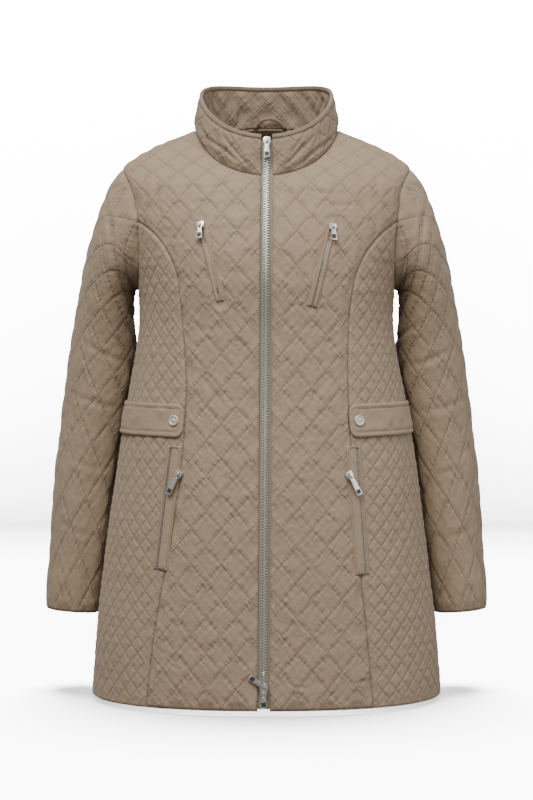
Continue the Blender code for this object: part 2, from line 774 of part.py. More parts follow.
def swept(name, frames, profile, material, smooth=None):
    """A closed solid: a profile of (across, out) pairs carried along the frames, both ends closed.

    The profile may be a function that gives the pairs at a frame.
    """
    points = []
    for frame in frames:
        pairs = profile(frame) if callable(profile) else profile
        points += [frame.position + frame.across * a + frame.normal * n for a, n in pairs]
    size = len(pairs)
    faces = []
    for ring in range(len(frames) - 1):
        for i in range(size):
            j = (i + 1) % size
            a, b = ring * size, (ring + 1) * size
            faces.append([a + i, a + j, b + j, b + i])
    faces.append(list(range(size)))
    faces.append([len(points) - size + i for i in range(size)])
    return solid_from(name, points, faces, material, smooth)


def bar_profile(left, right, low, high):
    """A flat rectangular profile."""
    return ((left, low), (right, low), (right, high), (left, high))


def body_path(start, end, count, side):
    """Positions and normals on the front along a line between two (distance from centre, drop) points."""
    positions, normals = [], []
    for i in range(count + 1):
        x = lerp(start[0], end[0], i / count)
        drop = lerp(start[1], end[1], i / count)
        turn = side * turn_at_x(x, drop)
        positions.append(body_point(turn, drop))
        normals.append(body_normal(turn, drop))
    return positions, normals


def zip_path(top_share, bottom_drop):
    """Positions and normals of the closing's centre line, down the collar and the body."""
    positions, normals = [], []
    angle = math.asin(centre_line(0) / NECK_HALF_WIDTH)
    neck = neck_place(angle)[1]
    for i in range(4):
        share = lerp(top_share, 0.06, i / 3)
        positions.append(collar_point(angle, share))
        normals.append(collar_normal(angle, share))
    count = round((bottom_drop - neck) / SEAM_STEP)
    for i in range(count + 1):
        drop = lerp(neck + 0.004, bottom_drop, i / count)
        turn = turn_at_x(centre_line(drop), drop)
        positions.append(body_point(turn, drop))
        normals.append(body_normal(turn, drop))
    return positions, normals


# ---------------------------------------------------------------- materials
def plain_material(name, red, green, blue, roughness, metallic=0.0):
    """A Principled material of one colour."""
    material = bpy.data.materials.new(name)
    material.use_nodes = True
    shader = material.node_tree.nodes["Principled BSDF"]
    shader.inputs["Base Color"].default_value = (red, green, blue, 1)
    shader.inputs["Roughness"].default_value = roughness
    shader.inputs["Metallic"].default_value = metallic
    return material


def make_materials():
    """The coat's finishes by name."""
    return {
        "shell": plain_material("taupe_quilted_polyester", 0.335, 0.270, 0.202, 0.55),
        "facing": plain_material("brown_facing", 0.24, 0.18, 0.13, 0.75),
        "tape": plain_material("grey_brown_zip_tape", 0.20, 0.175, 0.145, 0.8),
        "teeth": plain_material("nickel_teeth", 0.62, 0.60, 0.56, 0.32, 1.0),
        "nickel": plain_material("bright_nickel", 0.78, 0.78, 0.77, 0.22, 1.0),
        "snap": plain_material("satin_nickel_snap", 0.72, 0.69, 0.64, 0.4, 1.0),
    }


# ---------------------------------------------------------------- cloth pieces
def princess_start(side):
    """Number of the armhole seam point where the princess seam starts."""
    drops = [drop for _, drop in armhole_half(side, False)]
    target = PRINCESS_SEAM[0].drop
    return min(range(len(drops)), key=lambda i: abs(drops[i] - target))


def side_name(side):
    """Pieces on the picture's left are the wearer's right."""
    return "right" if side < 0 else "left"


def centre_front(side, material):
    """Centre front: neck, shoulder, upper armhole, princess seam, hem and closing edge."""
    armhole = armhole_seam(side)
    start = princess_start(side)
    princess_points = princess_seam(side, armhole[start])
    hem = hem_edge(princess_points[-1].turn, closing_turn(side, HEM_DROP))
    outline = neck_seam(side)[:COLLAR_COLUMNS + 1] + shoulder_seam(side)
    outline += armhole[:start] + princess_points + hem[1:]
    outline += list(reversed(closing_edge(side)))
    zones = (welt_zone(FRONT_PATTERN, CHEST_WELT[side], side, CHEST_WELT_HALF + LARGE_DIAMOND[0] * 0.7),
             welt_zone(FRONT_PATTERN, POCKET_WELT[side], side, POCKET_WELT_HALF + LARGE_DIAMOND[0] * 0.6))
    return quilted_panel(f"{side_name(side)}_centre_front", outline, FRONT_PATTERN, LARGE_DIAMOND,
                         LARGE_RISE, (0, 0), material, zones=zones)


def side_front(side, material):
    """Side front with the fine quilting: lower armhole, side seam, hem and princess seam."""
    armhole = armhole_seam(side)
    start = princess_start(side)
    princess_points = princess_seam(side, armhole[start])
    side_points = side_seam(side)
    hem = hem_edge(side_points[-1].turn, princess_points[-1].turn)
    half = SLEEVE_COLUMNS // 2
    outline = armhole[start:half] + [armhole[half]] + side_points[1:] + hem[1:-1]
    outline += list(reversed(princess_points))[:-1]
    zones = (welt_zone(FRONT_PATTERN, POCKET_WELT[side], side, POCKET_WELT_HALF + SMALL_DIAMOND[0]),)
    return quilted_panel(f"{side_name(side)}_side_front", outline, FRONT_PATTERN, SMALL_DIAMOND,
                         SMALL_RISE, (0, 0), material, step=LINING_STEP * 0.62, zones=zones)


def back(material):
    """The back in one piece, neck to hem and side seam to side seam."""
    outline = neck_seam(1)[COLLAR_COLUMNS:] + list(reversed(neck_seam(-1)[COLLAR_COLUMNS:]))[1:]
    outline += shoulder_seam(-1)
    outline += back_edge(-1)
    last = side_turn(HEM_DROP)
    outline += hem_edge(-last, -math.pi)[1:] + hem_edge(math.pi, last)[1:-1]
    outline += list(reversed(back_edge(1)))
    outline += list(reversed(shoulder_seam(1)))
    return quilted_panel("back", outline, BACK_PATTERN, LARGE_DIAMOND, LARGE_RISE, (0, 0), material,
                         step=LINING_STEP)


def back_edge(side):
    """One edge of the back: the armhole from the shoulder tip, then the side seam to the hem."""
    armhole = armhole_seam(side)
    half = SLEEVE_COLUMNS // 2
    return [armhole[0]] + list(reversed(armhole[half + 1:])) + [armhole[half]] + side_seam(side)[1:]


def sleeve(side, material):
    """One sleeve: a quilted tube from the armhole to the open cuff."""
    seam = armhole_seam(side)
    rings = [[point.position for point in seam]]
    for ring in range(SLEEVE_RINGS):
        share = ring / (SLEEVE_RINGS - 1)
        rings.append([sleeve_point(side, share, math.tau * i / SLEEVE_COLUMNS)
                      for i in range(SLEEVE_COLUMNS)])
    inner, outer = [], []
    for ring, row in enumerate(rings):
        for i, position in enumerate(row):
            around = row[(i + 1) % SLEEVE_COLUMNS] - row[i - 1]
            low, high = rings[max(ring - 1, 0)][i], rings[min(ring + 1, SLEEVE_RINGS)][i]
            normal = (around.cross(high - low) * side).normalized()
            wall = SEAM_WALL
            if ring == 0:
                normal = seam[i].normal
                away = normal.cross(around).normalized()
                position = position + away * math.copysign(SEAM_GAP / 2, away.dot(high - low))
            elif ring < SLEEVE_RINGS:
                wall = STITCH_WALL + (LARGE_RISE if ring > 1 and (ring + i) % 2 else 0)
            inner.append(position)
            outer.append(position + normal * wall)
    faces = []
    total = len(inner)
    for ring in range(SLEEVE_RINGS):
        for i in range(SLEEVE_COLUMNS):
            j = (i + 1) % SLEEVE_COLUMNS
            a, b = ring * SLEEVE_COLUMNS + i, ring * SLEEVE_COLUMNS + j
            c, d = b + SLEEVE_COLUMNS, a + SLEEVE_COLUMNS
            split = ((a, b, c), (a, c, d)) if (ring + i) % 2 == 0 else ((a, b, d), (b, c, d))
            for face in split:
                faces.append(list(face))
                faces.append([k + total for k in face])
    for row in (0, SLEEVE_RINGS * SLEEVE_COLUMNS):
        for i in range(SLEEVE_COLUMNS):
            j = (i + 1) % SLEEVE_COLUMNS
            faces.append([row + i, row + j, row + j + total])
            faces.append([row + i, row + j + total, row + i + total])
    return solid_from(f"{side_name(side)}_sleeve", inner + outer, faces, material)


def collar_grid():
    """Angles of the collar's columns from the picture's left end, round the back, to the right end."""
    left = collar_angles(-1)
    right = list(reversed(collar_angles(1)))
    return left + [angle - math.tau for angle in right[1:]]


def collar(material):
    """The stand collar: quilted outside, from one end of the zip round the back to the other."""
    angles = collar_grid()
    seams = neck_seam(-1) + list(reversed(neck_seam(1)))[1:]
    inner, outer = [], []
    for row, share in enumerate(COLLAR_SHARES):
        for column, angle in enumerate(angles):
            position = collar_point(angle, share)
            normal = collar_normal(angle, share)
            quilted = 0 < row < len(COLLAR_SHARES) - 2 and 1 < column < len(angles) - 2
            wall = COLLAR_WALL + (COLLAR_RISE if quilted and (row + column) % 2 else 0)
            if row == 0:
                normal = seams[column].normal
                wall = SEAM_WALL
                low = seams[max(column - 1, 0)].position
                high = seams[min(column + 1, len(angles) - 1)].position
                away = normal.cross(high - low).normalized()
                away *= math.copysign(SEAM_GAP / 2, away.z)
                position = position + away
            inner.append(position)
            outer.append(position + normal * wall)
    return solid_from("collar", inner + outer, shell_faces(len(COLLAR_SHARES), len(angles)), material)


def shell_faces(rows, columns):
    """Faces of a thin open shell: inner points first, row by row, then the outer ones."""
    faces = []
    total = rows * columns
    for row in range(rows - 1):
        for column in range(columns - 1):
            a = row * columns + column
            b, c, d = a + 1, a + columns + 1, a + columns
            split = ((a, b, c), (a, c, d)) if (row + column) % 2 == 0 else ((a, b, d), (b, c, d))
            for face in split:
                faces.append(list(face))
                faces.append([i + total for i in face])
    rim = list(range(columns))
    rim += [row * columns + columns - 1 for row in range(1, rows)]
    rim += [(rows - 1) * columns + column for column in range(columns - 2, -1, -1)]
    rim += [row * columns for row in range(rows - 2, 0, -1)]
    for i, a in enumerate(rim):
        b = rim[(i + 1) % len(rim)]
        faces.append([a, b, b + total])
        faces.append([a, b + total, a + total])
    return faces


def collar_binding(material):
    """The narrow binding folded over the collar's top edge."""
    angles = collar_grid()
    frames = []
    for angle in angles:
        out = collar_normal(angle, 1)
        up = (collar_point(angle, 1) - collar_point(angle, 0.9)).normalized()
        frames.append(Frame(collar_point(angle, 1), out, up))
    gap, thick, wall = BINDING_GAP, BINDING_THICKNESS, COLLAR_WALL
    profile = ((-gap - thick, -BINDING_HEIGHT), (-gap - thick, gap + thick),
               (wall + gap + thick, gap + thick), (wall + gap + thick, -BINDING_HEIGHT),
               (wall + gap, -BINDING_HEIGHT), (wall + gap, gap), (-gap, gap), (-gap, -BINDING_HEIGHT))
    return swept("collar_binding", frames, profile, material)


def back_neck_facing(material):
    """The plain facing inside the back, under the neck seam."""
    columns = [angle for angle in collar_grid() if abs(abs(angle) - math.pi) < FACING_HALF_ANGLE]
    inner, outer = [], []
    for row in range(FACING_ROWS):
        for angle in columns:
            turn, drop = neck_place(angle)
            spread = (abs(angle) - math.pi) / FACING_HALF_ANGLE
            depth = FACING_DEPTH * math.sqrt(max(1 - spread ** 2, FACING_END_SHARE ** 2))
            drop += FACING_TOP_GAP + depth * row / (FACING_ROWS - 1)
            normal = body_normal(turn, drop)
            outer.append(body_point(turn, drop) - normal * FACING_GAP)
            inner.append(outer[-1] - normal * FACING_WALL)
    return solid_from("back_neck_facing", inner + outer, shell_faces(FACING_ROWS, len(columns)), material)


def hanger_loop(material):
    """The hanger loop sewn into the back neck seam, standing a little off the collar."""
    positions, normals = [], []
    for i in range(HANGER_STEPS + 1):
        t = i / HANGER_STEPS
        arch = math.sin(math.pi * t)
        x = lerp(HANGER_LEFT, HANGER_RIGHT, t)
        angle = math.pi - math.asin(x / NECK_HALF_WIDTH)
        share = HANGER_FOOT_SHARE + HANGER_HEIGHT / COLLAR_TOP.rise * arch ** 0.7
        out = collar_normal(angle, share)
        positions.append(collar_point(angle, share) - out * (HANGER_SEAT + HANGER_STAND * arch))
        normals.append(-out)
    half = HANGER_WIDTH / 2
    profile = bar_profile(-half, half, 0, HANGER_THICKNESS)
    return swept("hanger_loop", frames_along(positions, normals), profile, material)


def zip_tape(side, material):
    """One half of the front zip's woven tape, behind the front's edge."""
    frames = frames_along(*zip_path(TAPE_TOP_SHARE, HEM_DROP - TAPE_HEM_GAP))
    edges = sorted((side * TAPE_HALF_GAP, side * TAPE_HALF_WIDTH))

    def profile(frame):
        radius = COLLAR_RADIUS if frame.position.z > -COLLAR_BASE_DROP else BODY_FRONT_RADIUS
        points = []
        for x, out in bar_profile(*edges, -TAPE_SEAT - TAPE_WALL, -TAPE_SEAT):
            points.append((x, out - x * x / (2 * radius)))
        return points

    return swept(f"zip_tape_{side_name(side)}", frames, profile, material)


def zip_chain(material):
    """The closed chain of teeth of the front zip, as one bar."""
    frames = frames_along(*zip_path(CHAIN_TOP_SHARE, CHAIN_END_DROP))
    profile = bar_profile(-CHAIN_WIDTH / 2, CHAIN_WIDTH / 2, -TAPE_SEAT + SEAM_GAP, CHAIN_TOP)
    return swept("zip_chain", frames, profile, material)


def welt(name, side, line, half_width, material):
    """A stitched welt round a pocket zip, lying on the front."""
    frames = frames_along(*body_path(*line, WELT_STEPS, side))
    profile = bar_profile(-half_width, half_width, WELT_BASE, WELT_BASE + WELT_WALL)
    return swept(name, frames, profile, material)


def welt_chain(name, side, line, shift, material):
    """The narrow chain of a pocket zip, lying along its welt."""
    frames = frames_along(*body_path(*line, WELT_STEPS, side))
    low = WELT_BASE + WELT_WALL + SEAM_GAP
    profile = bar_profile(shift - POCKET_CHAIN / 2, shift + POCKET_CHAIN / 2, low,
                          low + POCKET_CHAIN_HEIGHT)
    return swept(name, frames, profile, material)


def waist_tab(side, material):
    """The waist tab: sewn into the side seam, its rounded free end held by a snap."""
    seam_drop, end_drop = TAB_SEAM_DROP, TAB_END_DROP
    positions, normals = [], []
    count = TAB_STEPS
    first = side_turn(seam_drop) - TAB_SEAM_TURN
    last = turn_at_x(TAB_END_X, end_drop)
    for i in range(count + 1):
        t = i / count
        turn = side * lerp(first, last, t)
        drop = lerp(seam_drop, end_drop, t)
        positions.append(body_point(turn, drop))
        normals.append(body_normal(turn, drop))
    frames = frames_along(positions, normals)
    points = []
    for i, frame in enumerate(frames):
        half = TAB_HEIGHT / 2
        left = (count - i) * (positions[1] - positions[0]).length
        if left < TAB_CORNER:
            half -= TAB_CORNER - math.sqrt(TAB_CORNER ** 2 - (TAB_CORNER - left) ** 2)
        for across, out in bar_profile(-half, half, TAB_BASE, TAB_BASE + TAB_WALL):
            points.append(frame.position + frame.across * across + frame.normal * out)
    faces = []
    for ring in range(count):
        for i in range(4):
            a, b = ring * 4 + i, ring * 4 + (i + 1) % 4
            faces.append([a, b, b + 4])
            faces.append([a, b + 4, a + 4])
    faces.append([0, 1, 2, 3])
    faces.append([len(points) - 4 + i for i in range(4)])
    return solid_from(f"waist_tab_{side_name(side)}", points, faces, material)


# ---------------------------------------------------------------- hard pieces
def placement(origin, down, out):
    """World matrix whose X runs down the piece, Y across it and Z out of the cloth."""
    z = out.normalized()
    x = (down - z * down.dot(z)).normalized()
    y = z.cross(x)
    matrix = Matrix((x, y, z)).transposed().to_4x4()
    matrix.translation = origin
    return matrix


def prism(outline, low, high, hole=()):
    """Points and faces of a flat plate with an optional hole: outlines of (x, y) pairs."""
    outer, inner = len(outline), len(hole)
    rims = [Vector(p) for p in outline] + [Vector(p) for p in hole]
    edges = [(i, (i + 1) % outer) for i in range(outer)]
    edges += [(outer + i, outer + (i + 1) % inner) for i in range(inner)]
    verts, _, faces, origins, _, _ = delaunay_2d_cdt(rims, edges, [], 0, 1e-9)
    plate, gap = np.array(outline), np.array(hole) if hole else None
    kept = []
    for face in faces:
        centre = np.array(sum((verts[i] for i in face), Vector((0, 0))) / 3)
        solid = inside_and_distance(plate, centre)[0]
        if solid and not (hole and inside_and_distance(gap, centre)[0]):
            kept.append([origins[i][0] for i in face])
    total = len(rims)
    points = [Vector((p.x, p.y, low)) for p in rims] + [Vector((p.x, p.y, high)) for p in rims]
    faces = kept + [[i + total for i in face] for face in kept]
    for a, b in edges:
        faces.append([a, b, b + total])
        faces.append([a, b + total, a + total])
    return points, faces


def slider_arch(shift, angle):
    """Bridge of a slider over the pull's bar, centred a shift down the slider and turned."""
    low, top, span = SLIDER_THICKNESS - 0.0004, ARCH_HEIGHT, ARCH_HALF_LENGTH
    outline = ((-span, low), (span, low), (span, top - 0.0016), (span - 0.0014, top),
               (0.0014 - span, top), (-span, top - 0.0016))
    tunnel_low = SLIDER_THICKNESS + 0.0001
    tunnel = ((-TUNNEL_HALF_LENGTH, tunnel_low), (TUNNEL_HALF_LENGTH, tunnel_low),
              (TUNNEL_HALF_LENGTH, TUNNEL_TOP), (-TUNNEL_HALF_LENGTH, TUNNEL_TOP))
    points, faces = prism(outline, -ARCH_WIDTH / 2, ARCH_WIDTH / 2, tunnel)
    cosine, sine = math.cos(angle), math.sin(angle)
    turned = [Vector((shift + p.x * cosine - p.z * sine, p.x * sine + p.z * cosine, p.y)) for p in points]
    return turned, faces


def slider(name, matrix, arches, half_length, material):
    """A zip slider: a shouldered body with one bridge for each pull tab."""
    wide, narrow, nose = SLIDER_WIDTH / 2, SLIDER_TAIL_WIDTH / 2, SLIDER_NOSE
    outline = ((-half_length, -wide + nose), (nose - half_length, -wide), (0, -wide),
               (half_length, -narrow), (half_length, narrow), (0, wide),
               (nose - half_length, wide), (-half_length, wide - nose))
    body = solid_from(name, *prism(outline, 0, SLIDER_THICKNESS), material)
    for number, (shift, angle) in enumerate(arches):
        bridge = solid_from(f"{name}_bridge_{number}", *slider_arch(shift, angle), material)
        joined_to(body, bridge)
    body.matrix_world = matrix
    return body


def joined_to(body, extra):
    """Unites a helper solid with the body's mesh and removes the helper."""
    union = body.modifiers.new("union", "BOOLEAN")
    union.operation = "UNION"
    union.object = extra
    bpy.context.view_layer.update()
    whole = bpy.data.meshes.new_from_object(body.evaluated_get(bpy.context.evaluated_depsgraph_get()))
    body.modifiers.clear()
    body.data = whole
    bpy.data.objects.remove(extra)


def pull_tab(name, matrix, length, material):
    """A pull tab: an eye round the slider's bridge and a plate that widens towards its free end."""
    neck, end, corner = PULL_NECK_WIDTH / 2, PULL_WIDTH / 2, PULL_CORNER
    half = ((-BAR_HALF, neck - corner), (corner, neck), (PULL_NECK_END, neck),
            (PULL_PLATE_START, neck + corner / 2), (length - corner, end), (length, end - corner))
    outline = [(x, -y) for x, y in half] + list(reversed(half))
    eye = ((BAR_HALF, -EYE_HALF_WIDTH), (EYE_END, -EYE_HALF_WIDTH), (EYE_END, EYE_HALF_WIDTH),
           (BAR_HALF, EYE_HALF_WIDTH))
    tab = solid_from(name, *prism(outline, -PULL_THICKNESS / 2, PULL_THICKNESS / 2, eye), material)
    tab.matrix_world = matrix
    return tab


def snap(side, material):
    """The snap's domed cap on the waist tab."""
    drop = lerp(TAB_SEAM_DROP, TAB_END_DROP, SNAP_SHARE)
    turn = side * turn_at_x(SNAP_X, drop)
    out = body_normal(turn, drop)
    base = TAB_BASE + TAB_WALL + SNAP_SEAT
    profile = ((1.0, 0.0), (1.0, 0.35), (0.82, 0.72), (0.45, 1.0))
    points, faces = [], []
    for radius, height in profile:
        for i in range(SNAP_SEGMENTS):
            angle = math.tau * i / SNAP_SEGMENTS
            points.append(Vector((math.cos(angle) * radius * SNAP_RADIUS,
                                  math.sin(angle) * radius * SNAP_RADIUS, height * SNAP_HEIGHT)))
    for ring in range(len(profile) - 1):
        for i in range(SNAP_SEGMENTS):
            j = (i + 1) % SNAP_SEGMENTS
            a, b = ring * SNAP_SEGMENTS, (ring + 1) * SNAP_SEGMENTS
            faces.append([a + i, a + j, b + j, b + i])
    faces.append(list(range(SNAP_SEGMENTS)))
    faces.append([(len(profile) - 1) * SNAP_SEGMENTS + i for i in range(SNAP_SEGMENTS)])
    cap = solid_from(f"snap_{side_name(side)}", points, faces, material, smooth=math.radians(35))
    origin = body_point(turn, drop) + out * base
    cap.matrix_world = placement(origin, Vector((0, 0, -1)), out)
    return cap


def front_frame(x, drop, direction):
    """Place on the front's inner face, a direction along the cloth there, and out of it."""
    turn = turn_at_x(x, drop)
    return body_point(turn, drop), Vector(direction), body_normal(turn, drop)


def slider_and_pulls(name, place, base, half_length, pulls, materials):
    """A slider on its chain or welt, with a pull tab hinged on each of its bridges.

    Each pull is (piece name, shift down the slider, turn from straight down the slider, length).
    """
    origin, down, out = place
    seat = placement(origin + out.normalized() * base, down, out)
    arches = [(shift, turn) for _, shift, turn, _ in pulls]
    slider(name, seat, arches, half_length, materials["nickel"])
    for piece, shift, turn, length in pulls:
        hinge = seat @ Matrix.Translation((shift, 0, BAR_HEIGHT)) @ Matrix.Rotation(turn, 4, "Z")
        pull_tab(piece, hinge, length, materials["nickel"])


def front_zip_hardware(materials):
    """The front zip's upper slider with one pull and its lower slider with two."""
    base = CHAIN_TOP + SEAM_GAP
    angle = math.asin(centre_line(0) / NECK_HALF_WIDTH)
    step = 0.05
    down = collar_point(angle, TOP_SLIDER_SHARE - step) - collar_point(angle, TOP_SLIDER_SHARE + step)
    place = (collar_point(angle, TOP_SLIDER_SHARE), down, collar_normal(angle, TOP_SLIDER_SHARE))
    pulls = (("pull_top", 0.0, 0.0, TOP_PULL),)
    slider_and_pulls("zip_slider_top", place, base, TOP_HALF_LENGTH, pulls, materials)
    drop = BOTTOM_SLIDER_DROP
    pulls = (("pull_bottom_side", -BRIDGE_SHIFT, BOTTOM_PULL_UP_TURN, BOTTOM_PULL_UP),
             ("pull_bottom_down", BRIDGE_SHIFT, 0.0, BOTTOM_PULL_DOWN))
    place = front_frame(centre_line(drop), drop, (0, 0, -1))
    slider_and_pulls("zip_slider_bottom", place, base, BOTTOM_HALF_LENGTH, pulls, materials)


def pocket_hardware(side, materials):
    """The sliders and pulls of the chest zip and the lower pocket zip on one side."""
    name = side_name(side)
    (top_x, top_drop), (low_x, low_drop) = CHEST_WELT[side]
    chest_base = WELT_BASE + WELT_WALL + POCKET_CHAIN_HEIGHT + 2 * SEAM_GAP
    along = Vector((side * (low_x - top_x), 0, top_drop - low_drop))
    place = front_frame(side * lerp(top_x, low_x, CHEST_SLIDER_SHARE),
                        lerp(top_drop, low_drop, CHEST_SLIDER_SHARE), along)
    slant = math.atan2(low_x - top_x, low_drop - top_drop) * side
    pulls = ((f"pull_chest_{name}", 0.0, -slant, CHEST_PULL),)
    slider_and_pulls(f"chest_slider_{name}", place, chest_base, CHEST_HALF_LENGTH, pulls, materials)
    x, drop = POCKET_SLIDER[side]
    pocket_base = WELT_BASE + WELT_WALL + SEAM_GAP
    place = front_frame(side * x, drop, (side * POCKET_PULL_LEAN, 0, -1))
    pulls = ((f"pull_pocket_{name}", 0.0, 0.0, POCKET_PULL),)
    slider_and_pulls(f"pocket_slider_{name}", place, pocket_base, POCKET_HALF_LENGTH, pulls, materials)


def build_side(side, materials):
    """Every piece of one side of the coat."""
    name = side_name(side)
    centre_front(side, materials["shell"])
    side_front(side, materials["shell"])
    sleeve(side, materials["shell"])
    zip_tape(side, materials["tape"])
    waist_tab(side, materials["shell"])
    snap(side, materials["snap"])
    welt(f"chest_welt_{name}", side, CHEST_WELT[side], CHEST_WELT_HALF, materials["shell"])
    welt_chain(f"chest_zip_{name}", side, CHEST_WELT[side], 0, materials["teeth"])
    welt(f"pocket_welt_{name}", side, POCKET_WELT[side], POCKET_WELT_HALF, materials["shell"])
    welt_chain(f"pocket_zip_{name}", side, POCKET_WELT[side], side * POCKET_SLIT, materials["teeth"])
    pocket_hardware(side, materials)


def clear_scene():
    """Removes whatever the open file holds."""
    for item in list(bpy.data.objects):
        bpy.data.objects.remove(item)


def main():
    """Builds the coat."""
    clear_scene()
    materials = make_materials()
    back(materials["shell"])
    collar(materials["shell"])
    collar_binding(materials["shell"])
    back_neck_facing(materials["facing"])
    hanger_loop(materials["shell"])
    zip_chain(materials["teeth"])
    front_zip_hardware(materials)
    for side in (-1, 1):
        build_side(side, materials)


main()
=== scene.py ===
"""Quilted coat: the finished look, built on the frame of its solid model.

Metres, +Z up, front towards -Y.  The origin lies between the two neck points, so a height is minus
a tailor's drop below the neck point.  Side -1 is the picture's left, the wearer's right.
"""

import json
import math

import bmesh
import bpy
import numpy as np
from mathutils import Matrix, Vector
from mathutils.geometry import delaunay_2d_cdt

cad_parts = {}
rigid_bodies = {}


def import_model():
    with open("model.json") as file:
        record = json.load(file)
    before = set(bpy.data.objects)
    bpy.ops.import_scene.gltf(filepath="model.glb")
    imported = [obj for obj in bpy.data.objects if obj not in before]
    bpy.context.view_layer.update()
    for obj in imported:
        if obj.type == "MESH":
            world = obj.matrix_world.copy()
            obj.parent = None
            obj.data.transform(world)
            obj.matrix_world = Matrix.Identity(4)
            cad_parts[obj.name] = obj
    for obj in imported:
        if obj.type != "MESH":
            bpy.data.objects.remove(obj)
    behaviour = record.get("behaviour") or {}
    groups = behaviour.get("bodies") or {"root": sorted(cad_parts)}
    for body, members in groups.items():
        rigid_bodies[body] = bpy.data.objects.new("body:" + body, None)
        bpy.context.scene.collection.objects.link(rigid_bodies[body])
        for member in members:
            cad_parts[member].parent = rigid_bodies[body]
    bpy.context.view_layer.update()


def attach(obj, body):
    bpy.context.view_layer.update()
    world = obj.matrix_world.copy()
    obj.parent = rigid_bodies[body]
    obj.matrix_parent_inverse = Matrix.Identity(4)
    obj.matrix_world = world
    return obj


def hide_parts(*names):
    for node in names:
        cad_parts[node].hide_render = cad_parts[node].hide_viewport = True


bl_info = {
    "name": "Quilted coat",
    "version": (1, 0, 0),
    "blender": (4, 5, 0),
    "location": "View3D > Sidebar > Coat",
    "description": "Builds a quilted coat with its zips, tabs, pockets and stage",
    "category": "Object",
}

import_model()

# ---------------------------------------------------------------- sizes shared with the solids
SEAM_GAP = 0.0003
STITCH_WALL = 0.0024
EDGE_WALL = 0.0013         # at the very edge of a panel, where its face rolls over
EDGE_ROLL = STITCH_WALL - 0.0005
LARGE_DIAMOND = (0.041, 0.048)
SMALL_DIAMOND = (0.0215, 0.0245)
SECTION_POWER = 2.3
HEM_DROP = 0.806
UNDERARM_DROP = 0.222
SHOULDER_TIP_DROP = 0.054
NECK_HALF_WIDTH = 0.1005
NECK_FRONT_DEPTH = 0.105
NECK_BACK_DEPTH = 0.080
ZIP_HALF_GAP = 0.0080
ZIP_LEAN = 0.0046
SIDE_SEAM_TURN = math.radians(97)
PRINCESS_TOP_DROP = 0.134
SLEEVE_FREE_SHARE = 0.18
SLEEVE_CLEARANCE = 0.0044
SLEEVE_COLUMNS = 20

# drop, half width, front depth, back depth of the body's inner face
BODY_SECTIONS = (
    (-0.020, 0.066, 0.012, 0.080),
    (0.000, 0.106, 0.026, 0.098),
    (0.020, 0.152, 0.048, 0.114),
    (0.038, 0.186, 0.066, 0.124),
    (0.054, 0.206, 0.082, 0.131),
    (0.076, 0.214, 0.105, 0.137),
    (0.120, 0.206, 0.126, 0.143),
    (0.170, 0.193, 0.140, 0.145),
    (0.222, 0.182, 0.145, 0.140),
    (0.280, 0.180, 0.141, 0.132),
    (0.330, 0.187, 0.141, 0.132),
    (0.380, 0.196, 0.143, 0.137),
    (0.430, 0.2045, 0.147, 0.144),
    (0.510, 0.216, 0.153, 0.152),
    (0.600, 0.2275, 0.158, 0.158),
    (0.700, 0.2395, 0.162, 0.163),
    (0.806, 0.248, 0.166, 0.167),
)
# drop, distance from the centre line on the picture's left, and on its right
ARMHOLE_FRONT = (
    (0.054, 0.2060, 0.2060),
    (0.070, 0.1985, 0.1975),
    (0.092, 0.1885, 0.1880),
    (0.126, 0.1808, 0.1838),
    (0.160, 0.1790, 0.1805),
    (0.192, 0.1790, 0.1795),
    (0.212, 0.1800, 0.1800),
    (0.222, 0.1820, 0.1820),
)
ARMHOLE_BACK = (
    (0.054, 0.2060, 0.2060),
    (0.070, 0.1960, 0.1960),
    (0.092, 0.1870, 0.1870),
    (0.126, 0.1800, 0.1800),
    (0.160, 0.1770, 0.1770),
    (0.192, 0.1770, 0.1770),
    (0.212, 0.1790, 0.1790),
    (0.222, 0.1820, 0.1820),
)
PRINCESS_SEAM = (
    (0.134, 0.1805, 0.1830),
    (0.152, 0.1580, 0.1620),
    (0.178, 0.1380, 0.1400),
    (0.205, 0.1255, 0.1260),
    (0.248, 0.1181, 0.1160),
    (0.298, 0.1138, 0.1122),
    (0.365, 0.1095, 0.1118),
    (0.440, 0.1130, 0.1150),
    (0.535, 0.1233, 0.1205),
    (0.605, 0.1355, 0.1260),
    (0.700, 0.1520, 0.1360),
    (0.806, 0.1640, 0.1450),
)
# share along the sleeve, outer x and drop, inner x and drop, half depth, depth of the middle
SLEEVE_SECTIONS = (
    (0.0, 0.2210, 0.074, 0.1885, 0.2225, 0.064, 0.004),
    (0.1, 0.2400, 0.121, 0.1950, 0.2265, 0.067, 0.012),
    (0.2, 0.2550, 0.172, 0.1990, 0.2420, 0.067, 0.022),
    (0.3, 0.2680, 0.225, 0.1975, 0.2750, 0.065, 0.034),
    (0.4, 0.2795, 0.282, 0.1930, 0.3180, 0.063, 0.046),
    (0.5, 0.2900, 0.342, 0.1915, 0.3690, 0.061, 0.053),
    (0.6, 0.2990, 0.406, 0.1980, 0.4270, 0.059, 0.058),
    (0.7, 0.3065, 0.474, 0.2060, 0.4900, 0.056, 0.061),
    (0.8, 0.3135, 0.545, 0.2140, 0.5570, 0.053, 0.063),
    (0.9, 0.3195, 0.619, 0.2235, 0.6270, 0.050, 0.065),
    (1.0, 0.3248, 0.6935, 0.2325, 0.6985, 0.048, 0.066),
)
# the collar's top edge
COLLAR_TOP_HALF_WIDTH = 0.0930
COLLAR_TOP_FRONT = 0.100
COLLAR_TOP_BACK = 0.072
COLLAR_SIDE_HEIGHT = 0.056
COLLAR_FRONT_BEND = 1.15
COLLAR_BACK_BEND = 2.0
COLLAR_SWELL = 0.0012
COLLAR_FRONT_HEIGHT = -0.0184
COLLAR_BACK_HEIGHT = 0.0800
COLLAR_RISE = 0.059
COLLAR_WALL = 0.0030


